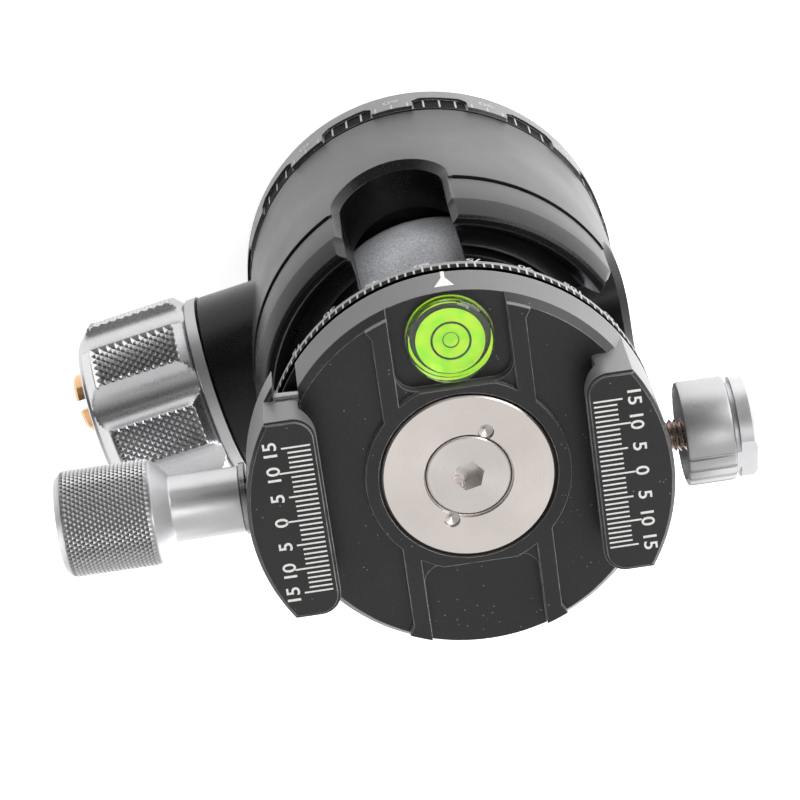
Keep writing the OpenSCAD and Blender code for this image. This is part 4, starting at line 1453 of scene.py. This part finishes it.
@dataclass
class JawScales:
    """Centring scales on both jaws: 31 ticks each, numbers 15 to 0 to 15, tops outwards."""

    top: float = 94.63
    lift: float = 0.015
    pitch: float = 0.757
    half: int = 15
    tick_w: float = 0.26
    digit_h: float = 1.95
    digit_stretch: float = 1.12
    lengths: Triple = (3.3, 4.1, 4.9)
    jaw_inner: float = 21.5
    jaw_label: float = 27.2
    lip_inner: float = 18.4
    lip_label: float = 24.2

    def one(self, name: str, body: str, inner: float, label: float, side: int) -> None:
        """Ticks and numbers of one jaw.

        Args:
            name: The scale's name.
            body: The body it rides on.
            inner: Where the ticks start, from the axis.
            label: Where the numbers' middle is.
            side: 1 for the movable jaw towards +X, -1 for the fixed one.
        """
        k = np.arange(-self.half, self.half + 1)
        length = np.select([k % 10 == 0, k % 5 == 0], self.lengths[:0:-1], self.lengths[0])
        level = np.full(len(k), self.top + self.lift)
        centre = np.stack([side * (inner + length / 2), k * self.pitch, level], -1)
        right = np.stack([length / 2, 0 * k, 0 * k], -1)
        up = np.stack([0 * k, np.full(len(k), self.tick_w / 2), 0 * k], -1)
        mark(patches(name + "_ticks", centre, right, up), Finish.WHITE, body)
        made = Joiner()
        for number in range(-self.half, self.half + 1, 5):
            flat, faces = glyphs(str(abs(number)), self.digit_h)
            x = side * (label + flat[:, 1])
            y = number * self.pitch - side * flat[:, 0] * self.digit_stretch
            made.add(np.stack([x, y, np.full(len(x), self.top + self.lift)], -1), faces)
        mark(made.build(name + "_numbers"), Finish.WHITE, body)

    def build(self) -> None:
        """Builds both scales."""
        self.one("jaw_scale", "jaw", self.jaw_inner, self.jaw_label, 1)
        self.one("fixed_scale", "clamp", self.lip_inner, self.lip_label, -1)


@dataclass
class PanScale:
    """Black band under the clamp with a tick each 2.5 degrees, numbers below, and the white index."""

    ring_r: float = CLAMP_R
    band: tuple[float, float] = (78.55, 79.9)
    zero: float = 64.7
    lift: float = 0.02
    step: float = 2.5
    half_tick: float = 0.14
    short_tick: float = 1.5
    long_tick: float = 2.2
    number_step: int = 15
    digit_h: float = 1.2
    digit_stretch: float = 1.5
    digit_drop: float = 1.35
    index: float = -0.5
    index_lift: float = 0.03
    wall_r: float = 28.6
    wall_span: tuple[float, float] = (81.2, 85.8)
    lean: float = 1.14

    def build(self) -> None:
        """Builds the band, ticks, numbers and index."""
        self.blacken()
        self.ticks()
        self.numbers()
        self.pointer()

    def blacken(self) -> None:
        """The black band: a thin hoop let into the ring and standing just proud of it."""
        low, high = self.band
        inner, outer = self.ring_r - 1.0, self.ring_r + self.lift / 2
        profile = np.array([(inner, low), (outer, low), (outer, high), (inner, high), (inner, low)])
        mark(raw_object("scale_band", *lathe_mesh(profile, segments=240)), Finish.LINE_BLACK, "ball_body")

    def ticks(self) -> None:
        """Ticks down from the band's top edge, every sixth of them long."""
        k = np.arange(round(360 / self.step))
        azimuth = self.zero - k * self.step
        length = np.where(k % 6 == 0, self.long_tick, self.short_tick)
        centre = on_wall(azimuth, self.ring_r + self.lift, self.band[1] - length / 2)
        up = np.stack([0 * length, 0 * length, length / 2], -1)
        marks = patches("pan_ticks", centre, along_wall(azimuth) * self.half_tick, up)
        mark(marks, Finish.GREY_FILLER, "ball_body")

    def numbers(self) -> None:
        """Numbers below the long ticks."""
        made = Joiner()
        for number in range(0, 360, self.number_step):
            flat, faces = glyphs(str(number), self.digit_h)
            azimuth = self.zero - number + np.degrees(flat[:, 0] * self.digit_stretch / self.ring_r)
            height = self.band[0] - self.digit_drop + flat[:, 1]
            made.add(on_wall(azimuth, self.ring_r + self.lift, height), faces)
        mark(made.build("pan_numbers"), Finish.GREY_FILLER, "ball_body")

    def pointer(self) -> None:
        """The index on the clamp's leaning wall: a triangle with a stem down to the groove."""
        outline = np.array([(-0.28, 81.05), (0.28, 81.05), (0.28, 82.6), (1.45, 84.6), (-1.45, 84.6),
                            (-0.28, 82.6)])
        low, high = self.wall_span
        inward = np.maximum(outline[:, 1] - low, 0) * (self.lean / (high - low))
        azimuth = self.index + np.degrees(outline[:, 0] / self.wall_r)
        points = on_wall(azimuth, self.ring_r - inward + self.index_lift, outline[:, 1])
        faces = [[0, 1, 2, 5], [5, 2, 3, 4]]
        mark(raw_object("pan_index", points, faces, closed=False), Finish.WHITE, "clamp")


@dataclass
class SpannerHoles:
    """Bright drilled floors in the two blind spanner holes of the bearing disc."""

    circle: float = 7.25
    turn: float = 63.5
    radius: float = 1.12
    top: float = 87.45
    deep: float = 0.45

    def build(self) -> None:
        """A cone in each hole: radius from the rim to nothing over the drill point's depth."""
        made = Joiner()
        for half in (0, 180):
            a = math.radians(self.turn + half)
            frame = AxisFrame((self.circle * math.cos(a), self.circle * math.sin(a), 0), (0, 0, 1), (1, 0, 0))
            cone = np.array([(self.radius, self.top), (self.radius * 0.5, self.top - self.deep / 2),
                             (0.001, self.top - self.deep)])
            made.add(*lathe_mesh(cone, frame, 40))
        floors = made.build("spanner_hole_floors")
        shade(floors, Finish.HEAD_STEEL)
        ride(floors, "ball_body", "stainless")


@dataclass
class BubbleLevel:
    """Clear puck with green liquid: black ring, air bubble, and the dyed plug below."""

    x: float = -0.1
    y: float = -20.8
    liquid_top: float = 87.18
    ring: float = 2.75
    ring_half: float = 0.17
    bubble_r: float = 1.15
    bubble_h: float = 0.36
    bubble_drop: float = 0.42
    edge_half: float = 0.07
    rim: float = 6.0
    rim_half: float = 0.2
    rim_z: float = 84.36
    thick: float = 0.03

    def build(self) -> None:
        """Builds the black ring, the rim's glowing hoop, the bubble's outline and the bubble."""
        frame = AxisFrame((self.x, self.y, 0), (0, 0, 1), (1, 0, 0))
        z = self.liquid_top - self.thick
        self.hoop("level_ring", frame, self.ring, z, self.ring_half, Finish.LINE_BLACK)
        # Painted light: a glowing green hoop at the puck's rim, for the light carried round the clear
        # acrylic.
        self.hoop("level_rim_glow", frame, self.rim, self.rim_z, self.rim_half, Finish.GREEN)
        # A painted outline at the bubble's edge, for the light bent there.
        self.hoop("level_bubble_edge", frame, self.bubble_r, z - self.bubble_h, self.edge_half,
                  Finish.BUBBLE_LINE)
        t = np.radians(np.linspace(-90, 90, 17))
        ball = np.stack([self.bubble_r * np.cos(t), z - self.bubble_drop + self.bubble_h * np.sin(t)], -1)
        ball[0, 0] = ball[-1, 0] = 0
        bubble = raw_object("level_bubble", *lathe_mesh(ball, frame, 48))
        shade(bubble, Finish.BUBBLE, 60)
        ride(bubble, "clamp", "vial_clear")
        LOG.info("bubble level ready")

    def hoop(self, name: str, frame: AxisFrame, radius: float, z: float, half: float, finish: Finish) -> None:
        """A thin flat ring round the level's axis.

        Args:
            name: Its name.
            frame: The level's axis.
            radius: Middle radius.
            z: Height of its top.
            half: Half its width.
            finish: Its finish.
        """
        low, inner, outer = z - self.thick, radius - half, radius + half
        line = np.array([(inner, low), (outer, low), (outer, z), (inner, z), (inner, low)])
        ring = raw_object(name, *lathe_mesh(line, frame, 96))
        shade(ring, finish)
        ride(ring, "clamp", "vial_green")


# ---- the whole head ------------------------------------------------------------------------------


@dataclass
class BallHead:
    """The whole head: finishes for the solids that stay, then every finer piece."""

    nodes: dict = field(default_factory=dict)
    finishes: dict = field(default_factory=lambda: {
        Finish.CLAMP_BLACK: ("base_plate", "panning_ring", "clamp_body", "movable_jaw", "housing_floor"),
        Finish.BALL_GREY: ("ball", "stem"),
        Finish.DISC_STEEL: ("bearing_disc",),
        Finish.HEAD_STEEL: ("centre_screw",),
        Finish.PLAIN_STEEL: ("thread_insert", "base_retainer", "retainer_screws", "cup_spring", "guide_pins",
                             "clamp_screw", "main_lock_screw", "clamp_washer", "base_lock_screw"),
        Finish.BRASS: ("friction_screw", "pressure_pad"),
        Finish.CUP_DARK: ("ball_cup",),
        Finish.NYLON: ("glide_washer", "pan_washer", "base_lock_pad", "pan_lock_pad"),
        Finish.CLEAR: ("vial_body",),
        Finish.LIQUID: ("vial_liquid",),
        Finish.GREEN: ("vial_plug",),
    })

    def dress(self) -> None:
        """Gives each solid that stays its finish."""
        for finish, names in self.finishes.items():
            for name in names:
                if name in self.nodes:
                    materials = self.nodes[name].data.materials
                    materials.clear()
                    materials.append(finish.material())
        a = math.radians(HOUSING_YAW)
        silver = {"main_knob_flange": a, "base_lock_cap": a + math.pi / 2, "pan_lock_cap": math.pi}
        for name, turn in silver.items():
            self.nodes[name].data.materials.clear()
            finish = SatinSilver(name + "_silver", turn, tone=0.46, rough=0.42, grain=0.45).build()
            self.nodes[name].data.materials.append(finish)
        LOG.info("solids dressed")

    def build(self) -> None:
        """Builds every piece in order."""
        self.dress()
        BaseRing().build()
        Housing().build()
        MainKnob().build()
        ClampKnob().build()
        far_side = AxisFrame((0, 0, CLAMP_SCREW_Z), (-1, 0, 0), (0, 0, 1))
        rear = level_axis(BASE_LOCK_Z, rear=True)
        LockKnob("pan_lock", "pan_lock_body", far_side, 31.14, first=6.3, groups=2).build()
        LockKnob("base_lock", "base_lock_body", rear, 34.0, first=20.0).build()
        ThreadedRod("pan_lock_thread", "pan_lock_body", far_side, "pan_lock_screw", start=18.6,
                    thread=(24.0, 34.0), end=36.54).build()
        JawScales().build()
        PanScale().build()
        SpannerHoles().build()
        BubbleLevel().build()


def main() -> None:
    """Loads the frame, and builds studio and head."""
    logging.basicConfig(level=logging.INFO, format="%(message)s")
    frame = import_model()
    Studio().build()
    BallHead(nodes=frame["nodes"]).build()


if __name__ == "__main__":
    main()
